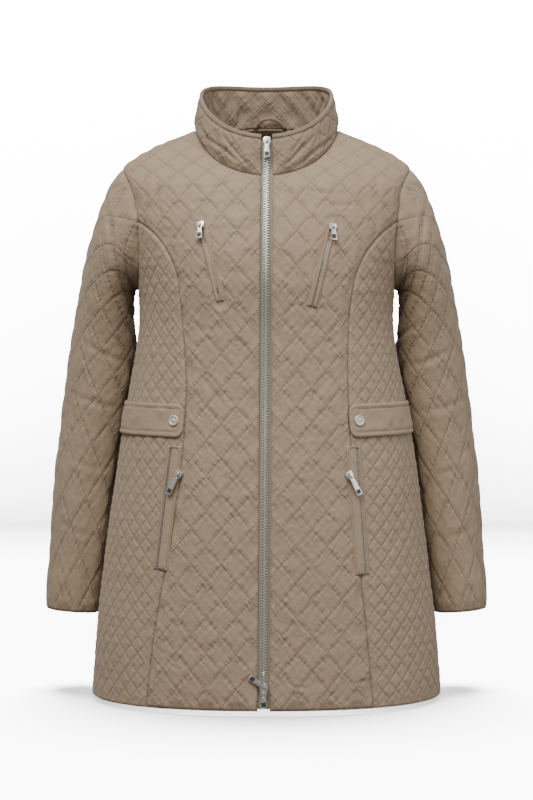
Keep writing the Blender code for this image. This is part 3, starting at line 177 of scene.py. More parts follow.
# ---------------------------------------------------------------- small helpers
def lerp(a, b, t):
    """The value a share t of the way from a to b."""
    return a + (b - a) * t


def smooth_step(low, high, value):
    """0 below low, 1 above high, and a smooth ramp between."""
    t = np.clip((value - low) / (high - low), 0, 1)
    return t * t * (3 - 2 * t)


def unit(vectors):
    """The same directions, one long."""
    return vectors / np.maximum(np.linalg.norm(vectors, axis=-1, keepdims=True), 1e-12)


def table_reader(rows):
    """A function that reads a table's further columns at any value of its first, smoothly."""
    rows = np.array(rows)
    knots, values = rows[:, 0], rows[:, 1:]
    slopes = np.gradient(values, knots, axis=0)

    def read(key):
        key = np.clip(np.asarray(key, float), knots[0], knots[-1])
        i = np.clip(np.searchsorted(knots, key, side="right") - 1, 0, len(knots) - 2)
        step = knots[i + 1] - knots[i]
        t = ((key - knots[i]) / step)[..., None]
        step = step[..., None]
        return ((1 + 2 * t) * (1 - t) ** 2 * values[i] + t * t * (3 - 2 * t) * values[i + 1]
                + t * (1 - t) ** 2 * step * slopes[i] + t * t * (t - 1) * step * slopes[i + 1])

    return read


body_section = table_reader(BODY_SECTIONS)
armhole_front = table_reader(ARMHOLE_FRONT)
armhole_back = table_reader(ARMHOLE_BACK)
princess_row = table_reader(PRINCESS_SEAM)
sleeve_section = table_reader(SLEEVE_SECTIONS)


def of_side(pairs, side):
    """The column of a seam table that belongs to a side."""
    return pairs[..., 0 if side < 0 else 1]


def hashed(*keys):
    """A steady random number from 0 to 1 for each set of whole numbers."""
    mixed = sum(np.asarray(key, float) * factor for key, factor in zip(keys, (12.9898, 78.233, 37.719)))
    return np.modf(np.abs(np.sin(mixed) * 43758.5453))[0]


def waves(x, y, size, seed):
    """Smooth uneven noise between about -1 and 1 over a plane, with bumps of about this size."""
    x, y = np.asarray(x) / size, np.asarray(y) / size
    i, j = np.floor(x), np.floor(y)
    u, v = x - i, y - j
    u, v = u * u * (3 - 2 * u), v * v * (3 - 2 * v)
    low = lerp(hashed(i, j, seed), hashed(i + 1, j, seed), u)
    high = lerp(hashed(i, j + 1, seed), hashed(i + 1, j + 1, seed), u)
    return 2 * lerp(low, high, v) - 1


# ---------------------------------------------------------------- the body's inner face
def centre_line(drop):
    """Where the front's closing runs: it leans a little towards the picture's left."""
    return 0.0006 - ZIP_LEAN * np.maximum(drop, 0.0) / HEM_DROP


def body_point(turn, drop):
    """Points on the inner face: turn is the angle from centre front, positive to the picture's right."""
    turn, drop = np.broadcast_arrays(np.asarray(turn, float), np.asarray(drop, float))
    half_width, front, back = np.moveaxis(body_section(drop), -1, 0)
    depth = np.where(np.cos(turn) > 0, front, back)
    reach = (np.abs(np.sin(turn)) / half_width) ** SECTION_POWER
    reach = reach + (np.abs(np.cos(turn)) / depth) ** SECTION_POWER
    radius = reach ** (-1 / SECTION_POWER)
    return np.stack((radius * np.sin(turn), -radius * np.cos(turn), -drop), -1)


def body_normal(turn, drop):
    """Directions out of the cloth at body_point(turn, drop)."""
    step_turn, step_drop = 1e-3, 1e-4
    low = np.maximum(np.asarray(drop) - step_drop, BODY_SECTIONS[0][0])
    high = np.minimum(np.asarray(drop) + step_drop, HEM_DROP)
    around = body_point(turn + step_turn, drop) - body_point(turn - step_turn, drop)
    down = body_point(turn, high) - body_point(turn, low)
    return unit(np.cross(down, around))


def turn_at_x(x, drop, back=False):
    """The turn at which the section at this drop reaches the distance x from the centre line."""
    half_width, front, behind = np.moveaxis(body_section(drop), -1, 0)
    depth = behind if back else front
    share = np.minimum(np.abs(x) / half_width, 0.99999)
    y = depth * (1 - share ** SECTION_POWER) ** (1 / SECTION_POWER)
    return np.copysign(np.arctan2(np.abs(x), -y if back else y), x)


class FlatPattern:
    """Turns places on the body into flat pattern coordinates and back."""

    ROWS = 400
    COLUMNS = 361
    ARC_STEP = 0.001

    def __init__(self, back):
        self.back = back
        self.drops = np.linspace(BODY_SECTIONS[0][0], HEM_DROP, self.ROWS)
        self.turns = np.linspace(0, math.pi, self.COLUMNS)
        grid = body_point(self.turns[None, :], self.drops[:, None])
        steps = np.linalg.norm(np.diff(grid[:, :, :2], axis=1), axis=2)
        arcs = np.concatenate([np.zeros((self.ROWS, 1)), np.cumsum(steps, axis=1)], axis=1)
        column = self.COLUMNS * (3 if back else 1) // 4
        meridian = np.linalg.norm(np.diff(grid[:, column], axis=0), axis=1)
        self.lengths = np.concatenate([[0], np.cumsum(meridian)])
        self.arcs = arcs[:, -1:] - arcs if back else arcs
        self.marks = np.arange(0, arcs[:, -1].max() + self.ARC_STEP, self.ARC_STEP)
        order = slice(None, None, -1) if back else slice(None)
        self.inverse = np.array([np.interp(self.marks, row[order], self.turns[order])
                                 for row in self.arcs])

    def flat(self, turn, drop):
        """Pattern coordinates: across from the centre line, and down."""
        i, row = self.row_of(drop)
        place = np.abs(turn) / math.pi * (self.COLUMNS - 1)
        j = np.clip(place.astype(int), 0, self.COLUMNS - 2)
        column = place - j
        low = lerp(self.arcs[i, j], self.arcs[i, j + 1], column)
        high = lerp(self.arcs[i + 1, j], self.arcs[i + 1, j + 1], column)
        down = np.interp(drop, self.drops, self.lengths)
        return np.copysign(lerp(low, high, row), turn), down

    def place(self, across, down):
        """Turn and drop of points given in pattern coordinates."""
        drop = np.interp(down, self.lengths, self.drops)
        i, row = self.row_of(drop)
        place = np.abs(across) / self.ARC_STEP
        j = np.clip(place.astype(int), 0, len(self.marks) - 2)
        column = np.clip(place - j, 0, 1)
        low = lerp(self.inverse[i, j], self.inverse[i, j + 1], column)
        high = lerp(self.inverse[i + 1, j], self.inverse[i + 1, j + 1], column)
        return np.copysign(lerp(low, high, row), across), drop

    def row_of(self, drop):
        """Row below a drop, and the share of the way to the next."""
        place = (drop - self.drops[0]) / (self.drops[-1] - self.drops[0]) * (self.ROWS - 1)
        i = np.clip(np.asarray(place).astype(int), 0, self.ROWS - 2)
        return i, np.clip(place - i, 0, 1)


FRONT_PATTERN = FlatPattern(back=False)
BACK_PATTERN = FlatPattern(back=True)


# ---------------------------------------------------------------- collar and sleeve faces
def neck_place(angle):
    """Turn and drop of the neck seam at an angle round the neck, 0 at centre front."""
    depth = np.where(np.cos(angle) > 0, NECK_FRONT_DEPTH, NECK_BACK_DEPTH)
    x = NECK_HALF_WIDTH * np.sin(angle)
    y = -depth * np.cos(angle)
    turn, radius = np.arctan2(x, -y), np.hypot(x, y)
    low, high = np.full(turn.shape, BODY_SECTIONS[0][0]), np.full(turn.shape, 0.12)
    for _ in range(40):
        middle = (low + high) / 2
        inside = np.linalg.norm(body_point(turn, middle)[..., :2], axis=-1) < radius
        low, high = np.where(inside, middle, low), np.where(inside, high, middle)
    return turn, (low + high) / 2


def collar_point(angle, share):
    """Inner face of the collar: share is 0 at the neck seam and 1 at the top edge."""
    angle, share = np.broadcast_arrays(np.asarray(angle, float), np.asarray(share, float))
    base = body_point(*neck_place(angle))
    front = np.cos(angle) > 0
    depth = np.where(front, COLLAR_TOP_FRONT, COLLAR_TOP_BACK)
    level = np.where(front, COLLAR_FRONT_HEIGHT, COLLAR_BACK_HEIGHT)
    forward = np.abs(np.cos(angle))
    bend = np.where(front, forward ** COLLAR_FRONT_BEND, 1 - (1 - forward) ** COLLAR_BACK_BEND)
    height = lerp(COLLAR_SIDE_HEIGHT, level, bend)
    top = np.stack((COLLAR_TOP_HALF_WIDTH * np.sin(angle), -depth * np.cos(angle), height), -1)
    outward = np.stack((np.sin(angle), -np.cos(angle), 0 * angle), -1)
    return lerp(base, top, share[..., None]) + outward * (COLLAR_SWELL * np.sin(math.pi * share))[..., None]


def collar_normal(angle, share):
    """Directions out of the collar's outer face."""
    step = 1e-3
    low, high = np.maximum(share - step, 0), np.minimum(share + step, 1)
    around = collar_point(angle + step, share) - collar_point(angle - step, share)
    up = collar_point(angle, high) - collar_point(angle, low)
    return unit(np.cross(around, up))


def collar_end_angle(side):
    """Angle at which the collar meets the zip on one side."""
    return math.asin((float(centre_line(0)) + side * ZIP_HALF_GAP) / NECK_HALF_WIDTH)


def soft_max(a, b, reach):
    """The larger of two values, rounded off where they meet."""
    return (a + b + np.sqrt((a - b) ** 2 + reach * reach)) / 2


def sleeve_point(side, share, angle):
    """Inner face of the hanging sleeve: angle 0 is the outer line, 90 degrees the front."""
    share, angle = np.broadcast_arrays(np.asarray(share, float), np.asarray(angle, float))
    outer_x, outer_drop, inner_x, inner_drop, half_depth, depth = np.moveaxis(sleeve_section(share), -1, 0)
    x = (outer_x + inner_x) / 2 + (outer_x - inner_x) / 2 * np.cos(angle)
    drop = (outer_drop + inner_drop) / 2 + (outer_drop - inner_drop) / 2 * np.cos(angle)
    y = depth - half_depth * np.sin(angle)
    half_width, front, back = np.moveaxis(body_section(drop), -1, 0)
    part = np.minimum(np.abs(y) / np.where(y > 0, back, front), 1.0)
    width = half_width * (1 - part ** SECTION_POWER) ** (1 / SECTION_POWER)
    beside = width + 2 * STITCH_WALL + 0.0032 + np.where(y > 0.02, 0.0032, 0.0014) + SLEEVE_CLEARANCE
    free = smooth_step(SLEEVE_FREE_SHARE - 0.06, SLEEVE_FREE_SHARE, share)
    x = np.where(free > 0, lerp(x, soft_max(x, beside, 0.004), free), x)
    return np.stack((side * x, y, -drop), -1)


# ---------------------------------------------------------------- seams, closely spaced
SEAM_STEP = 0.0027         # spacing of the points along a seam


def along(curve, step=SEAM_STEP, fine=400):
    """Parameters from 0 to 1 at equal lengths along curve(t), ends included."""
    t = np.linspace(0, 1, fine + 1)
    lengths = np.concatenate([[0], np.cumsum(np.linalg.norm(np.diff(curve(t), axis=0), axis=1))])
    count = max(2, round(lengths[-1] / step))
    return np.interp(np.linspace(0, lengths[-1], count + 1), lengths, t)


def armhole_turn(side, back, drop):
    """Turn of the armhole seam at a drop, on the front or the back of one side."""
    table = armhole_back if back else armhole_front
    turn = side * turn_at_x(of_side(table(drop), side), drop, back)
    tip = smooth_step(0.999, 1.0, 1 - np.minimum(drop - SHOULDER_TIP_DROP, UNDERARM_DROP - drop) / 0.05)
    return lerp(turn, side * math.pi / 2, tip)


def armhole_drop(t):
    """Drop of the armhole seam at a share t from the shoulder tip to the underarm."""
    return lerp(SHOULDER_TIP_DROP, UNDERARM_DROP, (1 - np.cos(math.pi * t)) / 2)


def even_armhole(side, back, shares):
    """Turns and drops at equal shares of the armhole's length from the tip to the underarm."""
    t = np.linspace(0, 1, 401)
    drops = armhole_drop(t)
    points = body_point(armhole_turn(side, back, drops), drops)
    lengths = np.concatenate([[0], np.cumsum(np.linalg.norm(np.diff(points, axis=0), axis=1))])
    drops = armhole_drop(np.interp(np.asarray(shares) * lengths[-1], lengths, t))
    return armhole_turn(side, back, drops), drops


def princess_start(side):
    """Share of the front armhole at which the princess seam starts."""
    shares = np.linspace(0, 1, SLEEVE_COLUMNS // 2 + 1)
    drops = even_armhole(side, False, shares)[1]
    return shares[np.argmin(np.abs(drops - PRINCESS_TOP_DROP))]


def princess_turn(side, drop):
    """Turn of the princess seam at a drop."""
    return side * turn_at_x(of_side(princess_row(np.maximum(drop, PRINCESS_TOP_DROP)), side), drop)


def closing_turn(side, drop):
    """Turn of a front's closing edge at a drop."""
    return turn_at_x(centre_line(drop) + side * ZIP_HALF_GAP, drop)


def side_turn(drop):
    """Angle of the side seam: it swings a little behind the underarm."""
    return lerp(math.pi / 2, SIDE_SEAM_TURN, smooth_step(0, 0.08, drop - UNDERARM_DROP))


def run_of(place, first, last):
    """Turns and drops at close equal lengths between two drops of a seam."""
    t = along(lambda s: body_point(*place(lerp(first, last, s))))
    return place(lerp(first, last, t))


def down_seam(turn_of, first, last):
    """Turns and drops of a seam whose turn is known at every drop."""
    return run_of(lambda drop: (turn_of(drop), drop), first, last)


def hem_run(first_turn, last_turn):
    """Turns and drops along the hem between two turns."""
    return run_of(lambda turn: (turn, np.full(np.shape(turn), HEM_DROP)), first_turn, last_turn)


def neck_run(first, last):
    """Turns, drops and mitred normals of the neck seam between two angles round the neck."""
    angles = along(lambda t: body_point(*neck_place(lerp(first, last, t))))
    angles = lerp(first, last, angles)
    turn, drop = neck_place(angles)
    return turn, drop, unit(body_normal(turn, drop) + collar_normal(angles, np.zeros(len(angles))))


def armhole_run(side, back, first, last):
    """Turns, drops and mitred normals of an armhole between two shares of its length."""
    t = along(lambda s: body_point(*even_armhole(side, back, lerp(first, last, s))))
    shares = lerp(first, last, t)
    turn, drop = even_armhole(side, back, shares)
    return turn, drop, armhole_normal(side, math.pi * shares * (-1 if back else 1))


def armhole_normal(side, angle):
    """Mitred normals of the armhole seam at angles round the sleeve, the front half positive."""
    step = 0.04
    here, ahead, behind = (armhole_at(side, angle + shift) for shift in (0, step, -step))
    position = body_point(*here)
    around = body_point(*ahead) - body_point(*behind)
    sleeve_way = sleeve_point(side, 0, angle) - position
    return unit(body_normal(*here) + unit(np.cross(around, sleeve_way) * side))


def armhole_at(side, angle):
    """Turn and drop of the armhole seam at angles round the sleeve."""
    wrapped = np.mod(angle + math.pi, math.tau) - math.pi
    shares = np.abs(wrapped) / math.pi
    front, back = even_armhole(side, False, shares), even_armhole(side, True, shares)
    return np.where(wrapped >= 0, front[0], back[0]), np.where(wrapped >= 0, front[1], back[1])


def joined(*runs):
    """One closed outline from runs that share their end points: turns, drops, normals, run numbers."""
    turns, drops, normals, labels = [], [], [], []
    for number, run in enumerate(runs):
        run = run if len(run) == 3 else (*run, body_normal(*run))
        turns.append(run[0][:-1])
        drops.append(run[1][:-1])
        normals.append(run[2][:-1])
        labels.append(np.full(len(run[0]) - 1, number))
    return tuple(np.concatenate(values) for values in (turns, drops, normals, labels))


def turned(run):
    """The same run from its other end."""
    return tuple(values[::-1] for values in run)


def centre_front_outline(side):
    """Neck, shoulder, upper armhole, princess seam, hem and closing edge."""
    start = princess_start(side)
    armhole = armhole_run(side, False, 0.0, start)
    first_drop = armhole[1][-1]
    neck = neck_run(collar_end_angle(side), side * math.pi / 2)
    return joined(neck,
                  down_seam(lambda drop: np.full(np.shape(drop), side * math.pi / 2), neck[1][-1],
                            SHOULDER_TIP_DROP),
                  armhole,
                  down_seam(lambda drop: princess_turn(side, drop), first_drop, HEM_DROP),
                  hem_run(princess_turn(side, HEM_DROP), closing_turn(side, HEM_DROP)),
                  down_seam(lambda drop: closing_turn(side, drop), HEM_DROP, neck[1][0]))


def side_front_outline(side):
    """Lower armhole, side seam, hem and princess seam."""
    start = princess_start(side)
    armhole = armhole_run(side, False, start, 1.0)
    return joined(armhole,
                  down_seam(lambda drop: side * side_turn(drop), UNDERARM_DROP, HEM_DROP),
                  hem_run(side * side_turn(HEM_DROP), princess_turn(side, HEM_DROP)),
                  down_seam(lambda drop: princess_turn(side, drop), HEM_DROP, armhole[1][0]))


def back_outline():
    """Neck, shoulders, armholes, side seams and hem of the back."""
    def half(side):
        neck = neck_run(side * math.pi, side * math.pi / 2)
        shoulder = down_seam(lambda drop: np.full(np.shape(drop), side * math.pi / 2), neck[1][-1],
                             SHOULDER_TIP_DROP)
        seam = down_seam(lambda drop: side * side_turn(drop), UNDERARM_DROP, HEM_DROP)
        hem = hem_run(side * side_turn(HEM_DROP), side * math.pi)
        return [neck, shoulder, armhole_run(side, True, 0.0, 1.0), seam, hem]

    def with_normals(run):
        return run if len(run) == 3 else (*run, body_normal(*run))

    right = [with_normals(run) for run in half(1)]
    left = [turned(with_normals(run)) for run in reversed(half(-1))]
    return joined(*right, *left)


# ---------------------------------------------------------------- creases laid one by one
# x and height of three points seen from the front, how deep and how wide, all in millimetres
FRONT_CREASES = (
    (-91, 5, -82, -14, -73, -38, 2.0, 4.0),
    (-84, -14, -62, -33, -34, -58, 2.7, 4.0),
    (-58, -18, -42, -42, -17, -70, 2.5, 3.6),
    (-70, -6, -64, -24, -50, -44, 1.0, 3.5),
    (66, -15, 41, -43, 21, -66, 2.6, 3.6),
    (90, -15, 64, -39, 40, -63, 2.7, 4.0),
    (50, -20, 36, -36, 26, -50, 1.0, 3.5),
    (95, -2, 86, -22, 74, -40, 1.2, 3.5),
    (-28, -82, -58, -92, -92, -98, 0.9, 5.0),
    (30, -80, 62, -88, 98, -92, 1.0, 5.0),
    (48, -96, 78, -104, 112, -102, 0.9, 5.0),
    (-106, -122, -95, -113, -80, -112, 1.1, 4.0),
    (84, -118, 98, -122, 116, -116, 1.2, 4.0),
    (-158, -62, -150, -84, -152, -110, 0.9, 6.0),
    (160, -60, 152, -84, 152, -108, 0.9, 6.0),
    (-152, -720, -144, -728, -138, -732, 1.3, 3.0),
    (-103, -722, -97, -727, -94, -728, 1.3, 3.0),
    (-132, -742, -124, -750, -116, -752, 1.5, 3.2),
    (31, -770, 44, -776, 56, -774, 1.2, 3.2),
    (118, -772, 128, -766, 138, -768, 1.2, 3.2),
    (-74, -300, -66, -312, -60, -330, 0.8, 6.0),
    (72, -300, 64, -316, 58, -334, 0.8, 6.0),
    (-88, -352, -72, -372, -58, -398, 1.0, 7.0),
    (84, -350, 70, -376, 54, -400, 1.0, 7.0),
)
BACK_CREASES = (
    (-90, 2, -80, -20, -66, -40, 1.2, 5.0),
    (88, 4, 78, -16, 62, -38, 1.2, 5.0),
    (-120, -90, -88, -104, -50, -108, 1.1, 7.0),
    (116, -94, 84, -106, 44, -112, 1.0, 7.0),
    (-160, -240, -138, -262, -110, -276, 1.3, 7.0),
    (158, -246, 136, -266, 106, -282, 1.3, 7.0),
    (-130, -330, -90, -346, -40, -350, 1.4, 9.0),
    (134, -336, 92, -350, 38, -356, 1.4, 9.0),
    (-60, -370, -10, -378, 44, -372, 1.0, 8.0),
    (-70, -520, -74, -600, -84, -690, 1.2, 14.0),
    (64, -540, 70, -620, 82, -700, 1.2, 14.0),
    (-6, -560, -4, -640, -10, -730, 0.9, 14.0),
)
SLEEVE_CREASES = (
    (-224, -104, -220, -140, -213, -190, 1.6, 6.0),
    (-213, -196, -206, -226, -200, -246, 1.6, 5.0),
    (-196, -214, -189, -226, -186, -236, 2.2, 4.0),
    (-208, -246, -200, -262, -194, -288, 1.8, 5.0),
    (-262, -300, -236, -322, -206, -330, 1.3, 7.0),
    (-286, -372, -256, -392, -222, -396, 1.2, 7.0),
    (-284, -470, -262, -486, -236, -486, 1.0, 7.0),
    (-304, -560, -280, -580, -256, -582, 1.0, 7.0),
    (224, -100, 220, -140, 214, -186, 1.6, 6.0),
    (199, -180, 193, -196, 190, -210, 1.8, 5.0),
    (196, -216, 190, -228, 188, -240, 2.2, 4.0),
    (216, -278, 204, -290, 192, -300, 1.8, 5.0),
    (262, -312, 238, -330, 210, -336, 1.3, 7.0),
    (288, -384, 258, -398, 226, -404, 1.2, 7.0),
    (290, -480, 264, -494, 240, -492, 1.0, 7.0),
    (306, -566, 284, -582, 258, -586, 1.0, 7.0),
)


# the same, on the collar's inner face as seen over its front edge
COLLAR_FOLDS = (
    (-88, 62, -82, 46, -72, 30, 2.2, 4.0),
    (-79, 68, -74, 54, -66, 42, 1.8, 3.5),
    (-66, 70, -58, 60, -54, 46, 1.2, 3.5),
    (-84, 50, -76, 36, -62, 22, 1.4, 3.0),
    (88, 64, 82, 48, 74, 30, 2.2, 4.0),
    (78, 68, 74, 54, 70, 40, 2.0, 3.5),
    (64, 70, 60, 58, 60, 44, 1.2, 3.5),
    (-20, 68, -12, 58, -14, 46, 1.0, 3.5),
    (22, 66, 30, 56, 28, 44, 1.0, 3.5),
)


def creased(points, rows):
    """How far cloth is pressed in along creases, for points seen from the front or the back."""
    x, z = points[:, 0] * 1000, points[:, 2] * 1000
    pressed = np.zeros(len(points))
    for x1, z1, x2, z2, x3, z3, depth, width in rows:
        line = np.array([[lerp(lerp(a, b, t), lerp(b, c, t), t) for a, b, c in ((x1, x2, x3), (z1, z2, z3))]
                         for t in np.linspace(0, 1, 9)])
        reach = 4 * width
        near = ((x > line[:, 0].min() - reach) & (x < line[:, 0].max() + reach)
                & (z > line[:, 1].min() - reach) & (z < line[:, 1].max() + reach))
        if not near.any():
            continue
        spot = np.stack((x[near], z[near]), -1)
        distance, share, _ = to_path(spot, line, False)
        fade = np.sin(math.pi * np.clip(share * 0.94 + 0.03, 0, 1)) ** 0.7
        trough = np.exp(-(distance / (width * 0.55)) ** 2)
        ridge = np.exp(-((distance - width * 1.25) / (width * 0.8)) ** 2)
        pressed[near] += depth * fade * (trough - 0.45 * ridge) / 1000
    return pressed


def to_path(spots, path, closed):
    """Distance of flat points from a path, share of the way along it, and the nearest segment."""
    start = path if closed else path[:-1]
    edge = (np.roll(path, -1, axis=0) if closed else path[1:]) - start
    length = np.maximum((edge * edge).sum(1), 1e-18)
    distance, share, nearest = (np.empty(len(spots)) for _ in range(3))
    chunk = max(1, 2000000 // len(start))
    for low in range(0, len(spots), chunk):
        part = spots[low:low + chunk]
        dx = part[:, 0, None] - start[None, :, 0]
        dy = part[:, 1, None] - start[None, :, 1]
        t = np.clip((dx * edge[:, 0] + dy * edge[:, 1]) / length, 0, 1)
        square = (dx - t * edge[:, 0]) ** 2 + (dy - t * edge[:, 1]) ** 2
        best = square.argmin(1)
        rows = np.arange(len(part))
        distance[low:low + chunk] = np.sqrt(square[rows, best])
        nearest[low:low + chunk] = best
        share[low:low + chunk] = (best + t[rows, best]) / len(start)
    return distance, share, nearest.astype(int)


def inside(spots, polygon):
    """Which flat points lie in a polygon."""
    start, end = polygon, np.roll(polygon, -1, axis=0)
    rise = end[:, 1] - start[:, 1]
    rise = np.where(rise == 0, 1e-18, rise)
    result = np.zeros(len(spots), bool)
    chunk = max(1, 2000000 // len(start))
    for low in range(0, len(spots), chunk):
        part = spots[low:low + chunk]
        y = part[:, 1, None]
        spans = (start[None, :, 1] > y) != (end[None, :, 1] > y)
        cross = start[:, 0] + (end[:, 0] - start[:, 0]) * (y - start[:, 1]) / rise
        result[low:low + chunk] = (spans & (part[:, 0, None] < cross)).sum(1) % 2 == 1
    return result


# ---------------------------------------------------------------- quilting
class Quilt:
    """Diamonds of padded cloth between lines of stitches."""

    def __init__(self, width, height, rise, fine, seed, start=(0.0, 0.0)):
        self.half = (width / 2, height / 2)
        self.rise, self.fine, self.seed, self.start = rise, fine, seed, start
        self.edge = math.hypot(*self.half)
        self.sine = 2 * self.half[0] * self.half[1] / self.edge ** 2

    def lattice(self, across, down):
        """The two lattice coordinates: a stitch line runs where one of them is a whole number."""
        x = (across - self.start[0]) / self.half[0]
        y = (down - self.start[1]) / self.half[1]
        return (x + y) / 2, (x - y) / 2

    def points(self, low, high):
        """Lattice points in a rectangle: each stitch line lies on a row of them."""
        n = self.fine
        corners = np.array([self.lattice(x, y) for x in (low[0], high[0]) for y in (low[1], high[1])]) * n
        u = np.arange(math.floor(corners[:, 0].min()), math.ceil(corners[:, 0].max()) + 1) / n
        v = np.arange(math.floor(corners[:, 1].min()), math.ceil(corners[:, 1].max()) + 1) / n
        u, v = (part.ravel() for part in np.meshgrid(u, v))
        spots = np.stack(((u + v) * self.half[0] + self.start[0], (u - v) * self.half[1] + self.start[1]), -1)
        kept = ((spots > low) & (spots < high)).all(1)
        return spots[kept]

    def relief(self, across, down):
        """Height of the puffed cloth over its stitch lines."""
        u, v = self.lattice(across, down)
        iu, iv = np.floor(u + 1e-9), np.floor(v + 1e-9)
        fu, fv = np.abs(np.sin(math.pi * u)), np.abs(np.sin(math.pi * v))
        full = 0.78 + 0.34 * hashed(iu, iv, self.seed)
        lean = 0.5 * (hashed(iv, iu, self.seed + 5) - 0.5) * (u - iu - 0.5)
        lean = lean + 0.5 * (hashed(iu, iv, self.seed + 9) - 0.5) * (v - iv - 0.5)
        puff = self.rise * (fu * fv) ** 0.55 * (full + lean)
        ripple = np.zeros(np.shape(u))
        for line, run in ((u, v), (v, u)):
            away = np.abs(line - np.round(line)) * self.edge * self.sine
            uneven = waves(run * self.edge, np.round(line) * 0.31 + 7, 0.0065, self.seed + 2)
            ripple += uneven * np.exp(-away / 0.0045) * np.minimum(away / 0.0015, 1)
        return puff + ripple * 0.13 * self.rise


LARGE_QUILT = Quilt(*LARGE_DIAMOND, 0.0034, 10, 1)
SMALL_QUILT = Quilt(*SMALL_DIAMOND, 0.0017, 7, 2)

FULL_EDGE = 0.0034         # from a seam to where the cloth is at its full thickness
PRESSED_DEPTH = 0.0006     # of the cloth under a pocket, which lies flat
ROW_DEPTH = 0.0009         # of the valley that a row of stitches pulls in beside a seam
ROW_REACH = 0.0011
HANG_HEIGHT = 0.0010       # of the wide waves in which the cloth hangs
DRAG_HEIGHT = 0.0009       # of the fine creases


def rolled_edge(share):
    """The wall from a panel's edge, at 0, to where its roll is full, at 1."""
    return EDGE_WALL + EDGE_ROLL * np.sqrt(1 - (1 - share) ** 2)


class Panel:
    """A panel of the body, in flat pattern coordinates."""

    def __init__(self, outline, pattern, quilt, rows=None, pressed=(), creases=()):
        self.turn, self.drop, self.normal, self.label = outline
        self.pattern, self.quilt, self.rows = pattern, quilt, rows or {}
        self.pressed, self.creases = pressed, creases
        flat = np.stack(pattern.flat(self.turn, self.drop), -1)
        ahead, behind = np.roll(flat, -1, axis=0), np.roll(flat, 1, axis=0)
        way = unit(unit(ahead - flat) + unit(flat - behind))
        area = (flat[:, 0] * ahead[:, 1] - ahead[:, 0] * flat[:, 1]).sum()
        self.inward = np.stack((-way[:, 1], way[:, 0]), -1) * math.copysign(1, area)
        self.flat = flat + self.inward * SEAM_GAP / 2

    def height(self, spots):
        """Thickness of the cloth at flat points, and the part each takes of its seam's normal."""
        distance, _, nearest = to_path(spots, self.flat, True)
        label = self.label[nearest]
        share = np.clip(distance / FULL_EDGE, 0, 1)
        thick = rolled_edge(share)
        soft = smooth_step(0.004, 0.015, distance)
        for start, end, radius in self.pressed:
            away = to_path(spots, np.array((start, end)), False)[0]
            soft = soft * smooth_step(radius * 0.75, radius * 1.5, away)
        thick = thick - PRESSED_DEPTH * soft + soft * self.quilt.relief(spots[:, 0], spots[:, 1])
        for number, row_distances in self.rows.items():
            for row in row_distances:
                valley = np.exp(-((distance - row) / ROW_REACH) ** 2)
                puckered = 0.8 + 0.5 * waves(spots[:, 0], spots[:, 1], 0.005, 4)
                thick = thick - np.where(label == number, ROW_DEPTH * valley * puckered, 0)
        hang = waves(spots[:, 0], spots[:, 1] * 0.55, 0.045, self.quilt.seed + 3)
        thick = thick + HANG_HEIGHT * hang * smooth_step(0.006, 0.04, distance)
        drop = self.pattern.place(spots[:, 0], spots[:, 1])[1]
        drag = waves(spots[:, 0] * 0.24 + spots[:, 1] * 0.05, spots[:, 1], 0.0085, self.quilt.seed + 6)
        patches = smooth_step(-0.2, 0.5, waves(spots[:, 0], spots[:, 1], 0.05, 9))
        upper = (1 - smooth_step(0.16, 0.27, drop)) * patches
        thick = thick + DRAG_HEIGHT * drag * (0.25 + upper) * smooth_step(0.003, 0.012, distance)
        return thick, np.exp(-distance / 0.004)[:, None], nearest

    def outer(self, spots, lift=0.0):
        """Points on the outer face over flat points."""
        place = self.pattern.place(spots[:, 0], spots[:, 1])
        base = body_point(*place)
        thick, mitre, nearest = self.height(spots)
        normal = unit(lerp(body_normal(*place), self.normal[nearest], mitre))
        thick = np.maximum(thick - creased(base, self.creases), 0.0009) + lift
        return base + normal * thick[:, None]

    def row(self, number, distance):
        """Flat points of a row of stitches at a distance from one seam."""
        chosen = self.label == number
        return self.flat[chosen] + self.inward[chosen] * distance


def triangles_of(outline, points):
    """Triangles over a flat outline and the points in it: whole numbers into outline + points."""
    everything = [Vector(p) for p in np.concatenate((outline, points)).tolist()]
    ring = list(range(len(outline)))
    _, _, faces, origins, _, _ = delaunay_2d_cdt(everything, [], [ring], 1, 1e-9)
    return np.array([[origins[i][0] for i in face] for face in faces])


def filled(outline, points, margin):
    """The flat points that lie in an outline, at least a margin from it."""
    kept = points[inside(points, outline)]
    return kept[to_path(kept, outline, True)[0] > margin]


def mesh_object(name, points, faces, materials, patterns=None, lattices=None, inner_from=None):
    """Links a smooth mesh; faces from number inner_from on take the second material."""
    mesh = bpy.data.meshes.new(name)
    mesh.from_pydata(points.tolist(), [], faces)
    for layer, values in (("pattern", patterns), ("lattice", lattices)):
        if values is not None:
            loops = np.empty(len(mesh.loops), int)
            mesh.loops.foreach_get("vertex_index", loops)
            mesh.uv_layers.new(name=layer).data.foreach_set("uv", values[loops].astype(np.float32).ravel())
    mesh.polygons.foreach_set("use_smooth", np.ones(len(mesh.polygons), bool))
    for material in materials:
        mesh.materials.append(material)
    if inner_from is not None:
        index = np.zeros(len(mesh.polygons), np.int32)
        index[inner_from:] = 1
        mesh.polygons.foreach_set("material_index", index)
    mesh.update()
    item = bpy.data.objects.new(name, mesh)
    bpy.context.scene.collection.objects.link(item)
    return item


